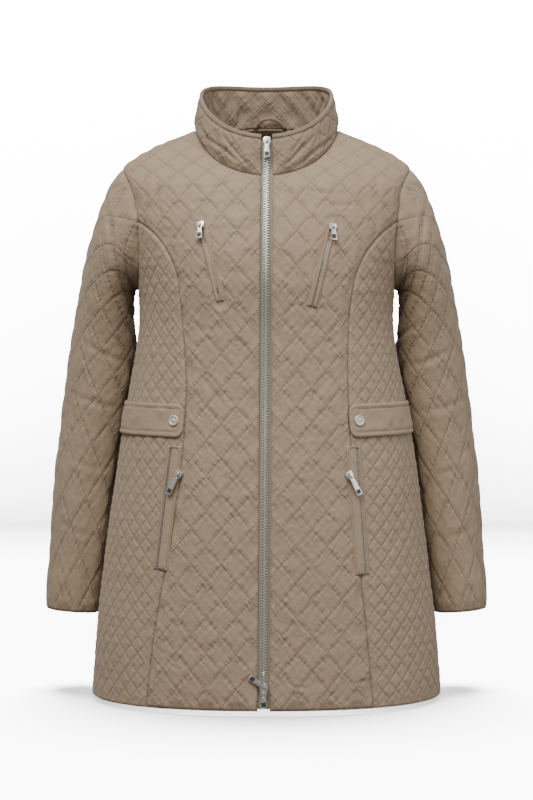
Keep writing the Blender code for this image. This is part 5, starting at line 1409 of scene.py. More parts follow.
def repeat_group():
    """Nodes that set an item on each point, its X along the path and its Z out of the cloth."""
    tree = bpy.data.node_groups.new("repeat_along_path", "GeometryNodeTree")
    face = tree.interface
    sockets = (("Geometry", "NodeSocketGeometry"), ("Item", "NodeSocketObject"), ("Size", "NodeSocketFloat"),
               ("Spread", "NodeSocketFloat"), ("Turn", "NodeSocketFloat"), ("Seed", "NodeSocketInt"),
               ("Material", "NodeSocketMaterial"))
    for name, kind in sockets:
        face.new_socket(name, in_out="INPUT", socket_type=kind)
    face.new_socket("Geometry", in_out="OUTPUT", socket_type="NodeSocketGeometry")
    given = node(tree, "NodeGroupInput").outputs

    def stored(name):
        return node(tree, "GeometryNodeInputNamedAttribute", {"Name": name},
                    data_type="FLOAT_VECTOR").outputs[0]

    upright = node(tree, "FunctionNodeAlignRotationToVector", {"Vector": stored("out")}, axis="Z")
    aligned = node(tree, "FunctionNodeAlignRotationToVector",
                   {"Rotation": upright.outputs[0], "Vector": stored("along")}, axis="X", pivot_axis="Z")
    low = maths(tree, "SUBTRACT", 0.0, given["Turn"])
    swing = node(tree, "FunctionNodeRandomValue", {2: low, 3: given["Turn"], "Seed": given["Seed"]})
    euler = node(tree, "ShaderNodeCombineXYZ", {2: swing.outputs[1]})
    swung = node(tree, "FunctionNodeRotateRotation", {"Rotation": aligned.outputs[0],
                                                      "Rotate By": euler.outputs[0]}, rotation_space="LOCAL")
    small = maths(tree, "SUBTRACT", given["Size"], given["Spread"])
    large = maths(tree, "ADD", given["Size"], given["Spread"])
    scale = node(tree, "FunctionNodeRandomValue", {2: small, 3: large, "Seed": given["Seed"]})
    source = node(tree, "GeometryNodeObjectInfo", {"Object": given["Item"]})
    placed = node(tree, "GeometryNodeInstanceOnPoints", {
        "Points": given["Geometry"], "Instance": source.outputs["Geometry"], "Rotation": swung.outputs[0],
        "Scale": scale.outputs[1]})
    real = node(tree, "GeometryNodeRealizeInstances", {"Geometry": placed.outputs[0]})
    painted = node(tree, "GeometryNodeSetMaterial", {"Geometry": real.outputs[0],
                                                     "Material": given["Material"]})
    node(tree, "NodeGroupOutput", {0: painted.outputs[0]})
    return tree


def repeated(name, points, along_it, out, item, material, spread=0.04, turn=0.0, seed=1):
    """One mesh of copies of a small item, set on points; the item is removed afterwards."""
    mesh = bpy.data.meshes.new(name)
    mesh.from_pydata(points.tolist(), [], [])
    for key, values in (("along", along_it), ("out", out)):
        layer = mesh.attributes.new(key, "FLOAT_VECTOR", "POINT")
        layer.data.foreach_set("vector", np.asarray(values, np.float32).ravel())
    item_object = bpy.data.objects.new(name, mesh)
    bpy.context.scene.collection.objects.link(item_object)
    tree = bpy.data.node_groups.get("repeat_along_path") or repeat_group()
    modifier = item_object.modifiers.new("repeat", "NODES")
    modifier.node_group = tree
    keys = {s.name: s.identifier for s in tree.interface.items_tree if s.in_out == "INPUT"}
    for key, value in (("Item", item), ("Size", 1.0), ("Spread", spread), ("Turn", turn), ("Seed", seed),
                       ("Material", material)):
        modifier[keys[key]] = value
    bpy.context.view_layer.update()
    evaluated = item_object.evaluated_get(bpy.context.evaluated_depsgraph_get())
    whole = bpy.data.meshes.new_from_object(evaluated)
    item_object.modifiers.clear()
    whole.name = name
    item_object.data = whole
    whole.polygons.foreach_set("use_smooth", np.ones(len(whole.polygons), bool))
    whole.set_sharp_from_angle(angle=math.radians(50))
    bpy.data.objects.remove(item)
    return item_object


def evenly(positions, normals, step, start=0.0):
    """Points every step along a path, with its direction and normal there."""
    lengths = np.concatenate([[0], np.cumsum(np.linalg.norm(np.diff(positions, axis=0), axis=1))])
    marks = np.arange(start, lengths[-1], step)
    spots = np.stack([np.interp(marks, lengths, positions[:, k]) for k in range(3)], -1)
    out = unit(np.stack([np.interp(marks, lengths, normals[:, k]) for k in range(3)], -1))
    ahead = np.gradient(spots, axis=0)
    return spots, unit(ahead - out * (ahead * out).sum(-1, keepdims=True)), out


# ---------------------------------------------------------------- the zips
def zip_teeth(name, positions, normals, width, pitch, middle, height, material, shift=0.0):
    """Teeth of a closed zip, gripping from each side in turn."""
    spots, way, out = evenly(positions, normals, pitch / 2, pitch)
    across = np.cross(out, way)
    turn_about = np.where(np.arange(len(spots)) % 2 == 0, 1, -1)[:, None]
    spots = spots + across * (shift + turn_about * width * 0.19) + out * middle
    tooth = block(f"{name}_tooth", (pitch * 0.36, width * 0.62, height), pitch * 0.10)
    return repeated(name, spots, way, out, tooth, material, 0.02, 0.02)


def zip_tape_object(side, material):
    """One half of the front zip's tape, woven, with a thicker bead next to the teeth."""
    positions, normals = zip_path(TAPE_TOP_SHARE, HEM_DROP - TAPE_HEM_GAP, TAPE_STEP)
    height = positions[:, 2]
    radius = np.where(height > -NECK_FRONT_DEPTH + 0.026, 0.085, 0.25)[:, None]
    x = np.array((0.0004, 0.0032, 0.0046, 0.0070, 0.0110, 0.0150))
    upper = np.array((0.0012, 0.0012, 0.0003, 0.0, 0.0002, 0.0))
    across = np.concatenate((x, x[::-1]))
    out = np.concatenate((upper - TAPE_SEAT, np.full(len(x), -TAPE_SEAT - TAPE_WALL)))
    curved = out[None] - across[None] ** 2 / (2 * radius)
    profile = np.stack((np.broadcast_to(side * across, curved.shape), curved), -1)
    return sweep(f"zip_tape_{side_name(side)}_woven", positions, normals, profile, [material])


TAPE_LENGTH = path_length(zip_path(TAPE_TOP_SHARE, HEM_DROP - TAPE_HEM_GAP, TAPE_STEP)[0])


def pocket_slide(side, line, shift, name, materials):
    """The teeth and tape of a pocket's zip, sunk in the slit of its welt."""
    positions, normals = line_path(line, side, 0.003)
    low = WELT_BASE + 0.0001
    profile = rounded(shift - SLIT_HALF - 0.0006, shift + SLIT_HALF + 0.0006, low - 0.0008, low, 0.0002)
    # The tape at the bottom of the slit takes the near-black recess colour: painted shade.
    tape = sweep(f"{name}_tape", positions[1:-1], normals[1:-1], profile, [materials["recess"]])
    teeth = zip_teeth(f"{name}_teeth", positions[1:-1], normals[1:-1], 1.3 * SLIT_HALF, POCKET_TOOTH_PITCH,
                      low + 0.0002, 0.0007, materials["teeth"], shift)
    return tape, teeth


# ---------------------------------------------------------------- welts and tabs
def welt_object(name, side, line, half, slit, material):
    """A pocket's welt: two soft lips with the slit of the zip between them."""
    positions, normals = line_path(line, side, LINE_STEP)
    low, high = WELT_BASE - 0.0012, WELT_BASE + WELT_WALL
    floor = WELT_BASE - 0.0004
    lips = []
    for left, right in ((-half, slit - SLIT_HALF), (slit + SLIT_HALF, half)):
        t = np.linspace(0, 1, 13)
        rise = np.sin(math.pi * t) ** 0.35
        outer = t if left < 0 and right < slit else 1 - t
        puff = rise * smooth_step(0.0, 0.6, outer)
        lips.append(np.stack((lerp(left, right, t), lerp(floor + 0.0005, high, puff)), -1))
    left_lip, right_lip = lips
    profile = np.concatenate((((-half, low), (half, low)), right_lip[::-1],
                              ((slit + SLIT_HALF, floor), (slit - SLIT_HALF, floor)), left_lip[::-1]))
    run = np.linspace(0, 1, len(positions))
    ends = np.minimum(run, 1 - run) * len(positions) * 0.0025
    press = 0.0006 * np.exp(-(ends / 0.003) ** 2)
    uneven = 0.00035 * waves(run * 9, np.zeros(len(run)), 1.0, 61 + side)
    rows = np.repeat(profile[None], len(positions), 0)
    over = np.clip((rows[..., 1] - floor) / (high - floor), 0, 1)
    rows[..., 1] += over * (uneven - press)[:, None]
    for distance in (0.0022,):
        for edge in (-half + distance, half - distance):
            rows[..., 1] -= 0.0005 * over * np.exp(-((rows[..., 0] - edge) / 0.0009) ** 2)
    return sweep(name, positions, normals, rows, [material])


def tab_object(side, material):
    """The waist tab: padded, topstitched, its free end rounded."""
    length, positions, out, across = tab_surface(side)
    rows = 33
    left = length[-1] - length
    cut = np.maximum(TAB_CORNER - left, 0)
    half = TAB_HEIGHT / 2 - (TAB_CORNER - np.sqrt(np.maximum(TAB_CORNER ** 2 - cut ** 2, 0)))
    s = np.linspace(-1, 1, rows)
    s = s * (1.5 - 0.5 * s * s)
    offset = half[None] * s[:, None]
    edge = np.minimum(half[None] - np.abs(offset), left[None])
    edge = np.where(left[None] < TAB_CORNER, np.minimum(edge, left[None]), edge)
    rise = TAB_WALL * (0.30 + 0.70 * np.sqrt(1 - (1 - np.clip(edge / 0.0035, 0, 1)) ** 2))
    rise = rise - 0.0011 * np.exp(-((edge - 0.0068) / 0.0013) ** 2)
    far = np.broadcast_to(length[None], offset.shape)
    rise = rise + 0.0009 * waves(far, offset, 0.014, 71 + side) * smooth_step(0.002, 0.012, edge)
    snap_at = float(np.interp(SNAP_X, np.abs(positions[::-1, 0]), length[::-1]))
    near = np.hypot(far - snap_at, offset)
    rise = lerp(rise, TAB_WALL, np.exp(-(near / 0.0105) ** 4))
    base = positions[None] + across[None] * offset[..., None]
    low = base + out[None] * TAB_BASE
    high = base + out[None] * (TAB_BASE + rise)[..., None]
    flat = np.stack((far, offset), -1)
    name = f"waist_tab_{side_name(side)}_sewn"
    return grid_object(name, high, low, False, [material, material], flat, flat)


def snap_object(side, material):
    """The snap's cap: a rolled rim round a shallow dish with a low centre boss."""
    drop = lerp(TAB_SEAM_DROP, TAB_END_DROP, SNAP_SHARE)
    turn = side * turn_at_x(SNAP_X, drop)
    out = body_normal(turn, drop)
    source = placement(body_point(turn, drop) + out * (TAB_BASE + TAB_WALL + SNAP_SEAT), (0, 0, -1), out)
    rings = ((1.0, 0.0), (1.0, 0.30), (0.97, 0.58), (0.90, 0.82), (0.82, 0.92), (0.72, 0.84), (0.62, 0.62),
             (0.50, 0.52), (0.34, 0.56), (0.26, 0.74), (0.16, 0.86), (0.06, 0.90))
    count = 40
    points, faces = [], []
    for radius, height in rings:
        for i in range(count):
            angle = math.tau * i / count
            points.append(source @ Vector((math.cos(angle) * radius * SNAP_RADIUS,
                                           math.sin(angle) * radius * SNAP_RADIUS, height * SNAP_HEIGHT)))
    for ring in range(len(rings) - 1):
        for i in range(count):
            a, b = ring * count + i, ring * count + (i + 1) % count
            faces.append([a, b, b + count, a + count])
    faces.append(list(range(count - 1, -1, -1)))
    faces.append([len(points) - count + i for i in range(count)])
    return mesh_object(f"snap_{side_name(side)}_cap", np.array([p[:] for p in points]), faces, [material])


# ---------------------------------------------------------------- hard pieces
def placement(origin, down, out):
    """World matrix whose X runs down the piece, Y across it and Z out of the cloth."""
    z = Vector(out).normalized()
    x = Vector(down)
    x = (x - z * x.dot(z)).normalized()
    matrix = Matrix((x, z.cross(x), z)).transposed().to_4x4()
    matrix.translation = Vector(origin)
    return matrix


def hinge_places():
    """World matrix of every pull tab: its origin on its bar, X towards its free end."""
    places = {}

    def seat(origin, down, out, base):
        return placement(np.asarray(origin) + np.asarray(out) * base, down, out)

    def add(name, matrix, shift, turn, length):
        hinge = matrix @ Matrix.Translation((shift, 0, BAR_HEIGHT)) @ Matrix.Rotation(turn, 4, "Z")
        places[name] = (hinge, length)

    angle = math.asin(float(centre_line(0)) / NECK_HALF_WIDTH)
    step = 0.05
    down = collar_point(angle, TOP_SLIDER_SHARE - step) - collar_point(angle, TOP_SLIDER_SHARE + step)
    chain = CHAIN_TOP + SEAM_GAP
    add("pull_top", seat(collar_point(angle, TOP_SLIDER_SHARE), down,
                         collar_normal(angle, np.array(TOP_SLIDER_SHARE)), chain), 0.0, 0.0, TOP_PULL)

    def on_front(x, drop, down, base):
        turn = turn_at_x(np.array(x), np.array(drop))
        return seat(body_point(turn, drop), down, body_normal(turn, drop), base)

    low = on_front(float(centre_line(BOTTOM_SLIDER_DROP)), BOTTOM_SLIDER_DROP, (0, 0, -1), chain)
    add("pull_bottom_side", low, -BRIDGE_SHIFT, BOTTOM_PULL_UP_TURN, BOTTOM_PULL_UP)
    add("pull_bottom_down", low, BRIDGE_SHIFT, 0.0, BOTTOM_PULL_DOWN)
    for side in (-1, 1):
        (top_x, top_drop), (low_x, low_drop) = CHEST_WELT[side]
        base = WELT_BASE + WELT_WALL + POCKET_CHAIN_HEIGHT + 2 * SEAM_GAP
        slider = on_front(side * lerp(top_x, low_x, CHEST_SLIDER_SHARE),
                          lerp(top_drop, low_drop, CHEST_SLIDER_SHARE),
                          (side * (low_x - top_x), 0, top_drop - low_drop), base)
        slant = math.atan2(low_x - top_x, low_drop - top_drop) * side
        add(f"pull_chest_{side_name(side)}", slider, 0.0, -slant, CHEST_PULL)
        x, drop = POCKET_SLIDER[side]
        slider = on_front(side * x, drop, (side * POCKET_PULL_LEAN, 0, -1), WELT_BASE + WELT_WALL + SEAM_GAP)
        add(f"pull_pocket_{side_name(side)}", slider, 0.0, 0.0, POCKET_PULL)
    return places


def refined(name, source, bevel, materials):
    """A copy of a solid with its edges rounded off, at its place."""
    mesh = source.data.copy()
    mesh.transform(source.matrix_world)
    bm = bmesh.new()
    bm.from_mesh(mesh)
    bmesh.ops.remove_doubles(bm, verts=bm.verts, dist=1e-6)
    bmesh.ops.dissolve_limit(bm, angle_limit=math.radians(2), verts=bm.verts, edges=bm.edges)
    sharp = [e for e in bm.edges if e.is_manifold and e.calc_face_angle(0) > math.radians(35)]
    bmesh.ops.bevel(bm, geom=sharp, offset=bevel, segments=2, profile=0.6, affect="EDGES",
                    clamp_overlap=True)
    bmesh.ops.triangulate(bm, faces=[f for f in bm.faces if len(f.verts) > 4])
    bm.normal_update()
    mesh.clear_geometry()
    bm.to_mesh(mesh)
    bm.free()
    mesh.name = name
    mesh.materials.clear()
    for material in materials:
        mesh.materials.append(material)
    mesh.polygons.foreach_set("material_index", np.zeros(len(mesh.polygons), np.int32))
    mesh.polygons.foreach_set("use_smooth", np.ones(len(mesh.polygons), bool))
    mesh.set_sharp_from_angle(angle=math.radians(40))
    item = bpy.data.objects.new(name, mesh)
    bpy.context.scene.collection.objects.link(item)
    return item


def pull_object(node_name, materials):
    """A pull tab with rounded edges and a recess near its free end, painted near-black as shade."""
    source = bpy.data.objects[node_name]
    pull = refined(f"{node_name}_tab", source, 0.00030, [materials["nickel"], materials["recess"]])
    cutter = block(f"{node_name}_cut", (0.0060, 0.0060, 0.0008), 0.0002)
    place, length = hinge_places()[node_name]
    cutter.data.transform(place @ Matrix.Translation((length - 0.0050, 0, PULL_THICKNESS / 2)))
    # The cutter's faces take the recess colour: painted shade in the recess.
    for material in (materials["nickel"], materials["recess"]):
        cutter.data.materials.append(material)
    cutter.data.polygons.foreach_set("material_index", np.ones(len(cutter.data.polygons), np.int32))
    cut = pull.modifiers.new("recess", "BOOLEAN")
    cut.operation, cut.object = "DIFFERENCE", cutter
    bpy.context.view_layer.update()
    whole = bpy.data.meshes.new_from_object(pull.evaluated_get(bpy.context.evaluated_depsgraph_get()))
    pull.modifiers.clear()
    pull.data = whole
    bpy.data.objects.remove(cutter)
    return pull


# ---------------------------------------------------------------- neck trimmings
def binding_object(material):
    """The rounded binding along the collar's top edge."""
    angle = collar_angles(np.linspace(0, 32, 220))
    positions = collar_point(angle, np.ones(len(angle)))
    normals = collar_normal(angle, np.full(len(angle), 0.985))
    up = 1.0 if np.cross(normals[0], positions[1] - positions[0])[2] > 0 else -1.0
    inner, outer = -BINDING_THICKNESS, COLLAR_WALL + BINDING_THICKNESS
    bend = np.linspace(0, math.pi, 15)
    middle, half = (inner + outer) / 2, (outer - inner) / 2
    arc = np.stack((BINDING_THICKNESS * 0.9 * np.sin(bend) ** 0.8, middle + half * np.cos(bend)), -1)
    low = np.array(((-BINDING_HEIGHT * 0.6, inner), (-BINDING_HEIGHT, inner + 0.0004),
                    (-BINDING_HEIGHT, outer - 0.0004), (-BINDING_HEIGHT * 0.6, outer)))
    profile = np.concatenate((arc, low)) * np.array((up, 1.0))
    rows = np.repeat(profile[None], len(positions), 0)
    uneven = 0.0003 * waves(np.linspace(0, 60, len(positions)), np.zeros(len(positions)), 1.0, 81)
    rows[..., 1] += uneven[:, None] * np.sign(rows[..., 1] - middle)
    return sweep("collar_binding_folded", positions, normals, rows, [material])


def facing_object(material):
    """The plain facing inside the back of the neck."""
    solid = bpy.data.objects["back_neck_facing"]
    item = refined("back_neck_facing_cloth", solid, 0.00025, [material])
    mesh = item.data
    points = np.empty(len(mesh.vertices) * 3)
    mesh.vertices.foreach_get("co", points)
    points = points.reshape(-1, 3)
    loops = np.empty(len(mesh.loops), int)
    mesh.loops.foreach_get("vertex_index", loops)
    around = np.arctan2(points[:, 0], points[:, 1]) * NECK_HALF_WIDTH
    flat = np.stack((around, points[:, 2]), -1)
    mesh.uv_layers.new(name="pattern").data.foreach_set("uv", flat[loops].astype(np.float32).ravel())
    return item


def facing_cut():
    """Width and depth of the neck facing laid flat, and its area in square metres."""
    spread = np.linspace(-1, 1, 61)
    turn, drop = neck_place(math.pi + spread * FACING_HALF_ANGLE)
    depths = FACING_DEPTH * np.sqrt(np.maximum(1 - spread ** 2, FACING_END_SHARE ** 2))
    shares = np.linspace(0, 1, 13)[:, None]
    return grid_cut(body_point(turn[None] + 0 * shares, drop[None] + depths[None] * shares), False)


def hanger_object(material):
    """The hanger loop: a folded strip, both ends caught in the neck seam."""
    x = np.linspace(HANGER_LEFT, HANGER_RIGHT, 41)
    t = (x - HANGER_LEFT) / (HANGER_RIGHT - HANGER_LEFT)
    arch = np.sin(math.pi * t)
    angle = -math.pi - np.arcsin(x / NECK_HALF_WIDTH)
    share = arch ** 0.6 * HANGER_HEIGHT / COLLAR_RISE
    out = collar_normal(angle, share)
    positions = collar_point(angle, share) - out * (HANGER_SEAT + HANGER_STAND * arch)[:, None]
    half = HANGER_WIDTH / 2
    bend = np.linspace(0, math.tau, 16, endpoint=False)
    profile = np.stack((half * np.cos(bend), HANGER_THICKNESS * (0.5 + 0.5 * np.sin(bend))), -1)
    return sweep("hanger_loop_strip", positions, -out, profile, [material])


# ---------------------------------------------------------------- the operators' tools
def front_flat(side, x, drop):
    """Flat pattern point on a front at a distance from the centre line."""
    return np.array(FRONT_PATTERN.flat(side * turn_at_x(x, drop), drop), float).ravel()


def front_panel(side):
    """The centre front, pressed flat under the chest welt and beside the pocket."""
    pressed = [(*(front_flat(side, *end) for end in CHEST_WELT[side]), 0.0085),
               (*(front_flat(side, *end) for end in POCKET_WELT[side]), 0.0120)]
    rows = {5: (0.0055,), 3: (0.0020, 0.0085)}
    return Panel(centre_front_outline(side), FRONT_PATTERN, LARGE_QUILT, rows, pressed, FRONT_CREASES)


def side_panel(side):
    """The side front, pressed flat under the pocket welt."""
    pressed = [(*(front_flat(side, *end) for end in POCKET_WELT[side]), 0.0120)]
    return Panel(side_front_outline(side), FRONT_PATTERN, SMALL_QUILT, {}, pressed, FRONT_CREASES)


PANELS = {}


def panels_of(side):
    """The two panels of one front, made once."""
    if side not in PANELS:
        PANELS[side] = (front_panel(side), side_panel(side))
    return PANELS[side]


def flat_size(points):
    """Width and length of a flat outline, and its area in square metres."""
    size = points.max(0) - points.min(0)
    after = np.roll(points, -1, axis=0)
    area = abs((points[:, 0] * after[:, 1] - after[:, 0] * points[:, 1]).sum()) / 2
    return tuple(float(s) for s in size), float(min(area, size[0] * size[1]))


def finish_piece(item, node_names=(), body="coat"):
    """Seats a finished piece on its body, in place of its solids."""
    if node_names:
        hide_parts(*node_names)
    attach(item, body)
    return item


def stitch_row(name, positions, normals, material, seed=1, sink=0.35, pitch=STITCH_PITCH, square=False):
    """A row of sewn stitches lying on the cloth, along the row or square to it."""
    spots, way, out = evenly(positions, normals, pitch, pitch / 2)
    if square:
        way = np.cross(out, way)
    thread = block(f"{name}_thread", (STITCH_LENGTH, THREAD, THREAD), THREAD * 0.36, 1)
    return repeated(name, spots - out * THREAD * sink, way, out, thread, material, 0.05, 0.04, seed)


def tab_surface(side):
    """Places along a waist tab: lengths, positions, normals and directions across it."""
    first = side_turn(TAB_SEAM_DROP) - TAB_SEAM_TURN
    last = float(turn_at_x(TAB_END_X, TAB_END_DROP))
    t = np.linspace(0, 1, 66)
    turns, drops = side * lerp(first, last, t), lerp(TAB_SEAM_DROP, TAB_END_DROP, t)
    positions, normals = body_point(turns, drops), body_normal(turns, drops)
    across, out = frames_of(positions, normals)
    length = np.concatenate([[0], np.cumsum(np.linalg.norm(np.diff(positions, axis=0), axis=1))])
    return length, positions, out, across


def tab_stitches(side, material):
    """The row of stitches round a waist tab."""
    length, positions, out, across = tab_surface(side)
    inset, corner = TAB_ROW_INSET, TAB_ROW_CORNER
    reach = TAB_HEIGHT / 2
    bend = np.linspace(0, math.pi / 2, 7)
    far = length[-1] - inset
    upper = [(x, reach - inset) for x in np.linspace(0, far - corner, 50)]
    upper += [(far - corner + corner * math.sin(t), reach - inset - corner + corner * math.cos(t))
              for t in bend]
    outline = np.array(upper + [(x, -y) for x, y in reversed(upper)])

    def at(values):
        return np.stack([np.interp(outline[:, 0], length, values[:, k]) for k in range(3)], -1)

    spots = at(positions) + at(across) * outline[:, 1:]
    normals = unit(at(out))
    lifted = spots + normals * (TAB_BASE + TAB_WALL - TAB_ROW_SINK)
    return stitch_row(f"tab_row_{side}", lifted, normals, material, 5)


def welt_stitches(side, line, half, material):
    """The row of stitches round a pocket's welt."""
    positions, normals = line_path(line, side, LINE_STEP)
    across, out = frames_of(positions, normals)
    inset = 0.0022
    height = WELT_BASE + WELT_WALL - 0.0003
    left = positions + across * (half - inset) + out * height
    right = positions - across * (half - inset) + out * height
    lap = round(inset / 0.0025) + 1
    loop = np.concatenate((left[lap:-lap], right[lap:-lap][::-1], left[lap:lap + 1]))
    turned_out = np.concatenate((out[lap:-lap], out[lap:-lap][::-1], out[lap:lap + 1]))
    return stitch_row(f"welt_row_{side}_{round(half * 1e4)}", loop, turned_out, material, 6)


def bar_tacks(side, line, half, material):
    """The short bars of close stitches across both ends of a pocket's welt."""
    positions, normals = line_path(line, side, LINE_STEP)
    across, out = frames_of(positions, normals)
    rows = []
    for end in (1, -2):
        reach = np.linspace(-half * BAR_TACK_SHARE, half * BAR_TACK_SHARE, 9)[:, None]
        spots = positions[end] + across[end] * reach + out[end] * (WELT_BASE + WELT_WALL)
        name = f"bar_{side}_{round(half * 1e4)}_{end}"
        upright = np.repeat(out[end][None], len(reach), 0)
        rows.append(stitch_row(name, spots, upright, material, 7, pitch=THREAD * 1.4, square=True))
    return rows


def collar_end_stitches(side, material):
    """The row of stitches beside the zip, up the end of the collar."""
    collar = bpy.data.objects["collar_quilted"]
    shares = np.linspace(0.03, 0.86, 40)
    angle = np.full(40, collar_end_angle(side) + side * COLLAR_ROW_INSET / COLLAR_TOP_FRONT)
    normals = collar_normal(angle, shares)
    above = collar_point(angle, shares) + normals * 2 * COLLAR_WALL
    near = [collar.closest_point_on_mesh(Vector(spot))[1] for spot in above]
    return stitch_row(f"collar_row_{side}", np.array([tuple(spot) for spot in near]), normals, material, 8)


def united(name, items):
    """Several meshes as one piece."""
    bm = bmesh.new()
    materials = []
    for item in items:
        for material in item.data.materials:
            if material not in materials:
                materials.append(material)
        start = len(bm.faces)
        bm.from_mesh(item.data)
        bm.faces.ensure_lookup_table()
        slots = [materials.index(material) for material in item.data.materials]
        for face in bm.faces[start:]:
            face.material_index = slots[min(face.material_index, len(slots) - 1)] if slots else 0
    mesh = bpy.data.meshes.new(name)
    bm.to_mesh(mesh)
    bm.free()
    for material in materials:
        mesh.materials.append(material)
    mesh.polygons.foreach_set("use_smooth", np.ones(len(mesh.polygons), bool))
    for item in items:
        bpy.data.objects.remove(item)
    whole = bpy.data.objects.new(name, mesh)
    bpy.context.scene.collection.objects.link(whole)
    return whole


# ---------------------------------------------------------------- settings
class CoatSettings(bpy.types.PropertyGroup):
    """Colours and light of the coat."""
    shell_colour: bpy.props.StringProperty(
        name="Shell", description="sRGB hex colour of the taffeta", default="#9B8770")
    facing_colour: bpy.props.StringProperty(
        name="Facing", description="sRGB hex colour of the neck facing", default="#6E5B49")
    tape_colour: bpy.props.StringProperty(
        name="Zip tape", description="sRGB hex colour of the woven tape", default="#9A917D")
    thread_colour: bpy.props.StringProperty(
        name="Thread", description="sRGB hex colour of the topstitching", default="#85745F")
    teeth_colour: bpy.props.StringProperty(
        name="Teeth", description="sRGB hex colour of the zip teeth", default="#DAD8D1")
    metal_colour: bpy.props.StringProperty(
        name="Sliders", description="sRGB hex colour of sliders and pulls", default="#E4E1DB")
    snap_colour: bpy.props.StringProperty(
        name="Snaps", description="sRGB hex colour of the snap caps", default="#D8D0C4")
    # The recess colour is near-black painted shade in the pulls' recesses and the pocket slits.
    recess_colour: bpy.props.StringProperty(
        name="Recess", description="sRGB hex colour of the enamel in the pulls", default="#3A352F")
    camera_distance: bpy.props.FloatProperty(
        name="Camera distance", description="From the middle of the coat", default=2.4, unit="LENGTH")
    camera_height: bpy.props.FloatProperty(
        name="Camera height", description="Against the neck points", default=-0.386, unit="LENGTH")
    lens: bpy.props.FloatProperty(
        name="Lens", description="Focal length in millimetres", default=74.55)
    key_power: bpy.props.FloatProperty(
        name="Key light", description="Power of the large soft light", default=116.0, unit="POWER")
    floor_light: bpy.props.FloatProperty(
        name="Floor light", description="Strength of the light on the white paper", default=28.0)
    world_strength: bpy.props.FloatProperty(
        name="Surroundings", description="Brightness of the white surroundings", default=0.55)


def settings_of(context):
    """The coat's settings in the open scene."""
    return context.scene.coat_settings


# ---------------------------------------------------------------- operators
class COAT_OT_body(bpy.types.Operator):
    """Build the quilted panels of the fronts and the back"""
    bl_idname = "coat.body"
    bl_label = "Body panels"

    def execute(self, context):
        finishes = materials_of(settings_of(context))
        for side in (-1, 1):
            centre, edge = panels_of(side)
            for key, panel, finish in (("centre_front", centre, "large"), ("side_front", edge, "small")):
                node_name = f"{side_name(side)}_{key}"
                item = panel_object(f"{node_name}_quilted", panel, [finishes[finish], finishes["lining"]])
                flat, area = flat_size(panel.flat)
                finish_piece(item, (node_name,))
        panel = Panel(back_outline(), BACK_PATTERN, LARGE_QUILT, {}, (), BACK_CREASES)
        item = panel_object("back_quilted", panel, [finishes["large"], finishes["lining"]])
        flat, area = flat_size(panel.flat)
        finish_piece(item, ("back",))
        return {"FINISHED"}


class COAT_OT_sleeves(bpy.types.Operator):
    """Build the two quilted sleeves"""
    bl_idname = "coat.sleeves"
    bl_label = "Sleeves"

    def execute(self, context):
        finishes = materials_of(settings_of(context))
        for side in (-1, 1):
            node_name = f"{side_name(side)}_sleeve"
            item, (flat, area) = sleeve_object(f"{node_name}_quilted", side,
                                               [finishes["sleeve"], finishes["lining"]])
            finish_piece(item, (node_name,))
        return {"FINISHED"}


class COAT_OT_collar(bpy.types.Operator):
    """Build the collar with its binding, the neck facing and the hanger loop"""
    bl_idname = "coat.collar"
    bl_label = "Collar"

    def execute(self, context):
        finishes = materials_of(settings_of(context))
        item, (flat, area) = collar_object("collar_quilted", [finishes["collar"], finishes["collar"]])
        binding = binding_object(finishes["edge"])
        hanger = hanger_object(finishes["edge"])
        finish_piece(item, ("collar",))
        finish_piece(binding, ("collar_binding",))
        finish_piece(hanger, ("hanger_loop",))
        facing = facing_object(finishes["facing"])
        flat, area = facing_cut()
        finish_piece(facing, ("back_neck_facing",))
        return {"FINISHED"}


class COAT_OT_front_zip(bpy.types.Operator):
    """Build the front zip's tapes and teeth"""
    bl_idname = "coat.front_zip"
    bl_label = "Front zip"

    def execute(self, context):
        finishes = materials_of(settings_of(context))
        for side in (-1, 1):
            tape = zip_tape_object(side, finishes["tape"])
            finish_piece(tape, (f"zip_tape_{side_name(side)}",))
        positions, normals = zip_path(CHAIN_TOP_SHARE, CHAIN_END_DROP, 0.002)
        teeth = zip_teeth("zip_chain_teeth", positions, normals, CHAIN_WIDTH, TOOTH_PITCH,
                          (CHAIN_TOP - TAPE_SEAT) / 2 + TOOTH_LIFT, CHAIN_TOP + TAPE_SEAT - TOOTH_LESS,
                          finishes["teeth"])
        finish_piece(teeth, ("zip_chain",))
        return {"FINISHED"}


class COAT_OT_pockets(bpy.types.Operator):
    """Build the welts and zips of the chest and lower pockets"""
    bl_idname = "coat.pockets"
    bl_label = "Pockets"

    def execute(self, context):
        finishes = materials_of(settings_of(context))
        for side in (-1, 1):
            name = side_name(side)
            pockets = (("chest", CHEST_WELT[side], CHEST_WELT_HALF, 0.0),
                       ("pocket", POCKET_WELT[side], POCKET_WELT_HALF, side * POCKET_SLIT))
            for key, line, half, slit in pockets:
                welt = welt_object(f"{key}_welt_{name}_lips", side, line, half, slit, finishes["plain"])
                length = path_length(line_path(line, side, 0.003)[0])
                finish_piece(welt, (f"{key}_welt_{name}",))
                tape, teeth = pocket_slide(side, line, slit, f"{key}_zip_{name}", finishes)
                finish_piece(tape)
                finish_piece(teeth, (f"{key}_zip_{name}",))
        return {"FINISHED"}


class COAT_OT_tabs(bpy.types.Operator):
    """Build the waist tabs and their snaps"""
    bl_idname = "coat.tabs"
    bl_label = "Waist tabs"

    def execute(self, context):
        finishes = materials_of(settings_of(context))
        for side in (-1, 1):
            tab = tab_object(side, finishes["plain"])
            float(tab_surface(side)[0][-1])
            finish_piece(tab, (f"waist_tab_{side_name(side)}",))
            cap = snap_object(side, finishes["snap"])
            finish_piece(cap, (f"snap_{side_name(side)}",))
        return {"FINISHED"}


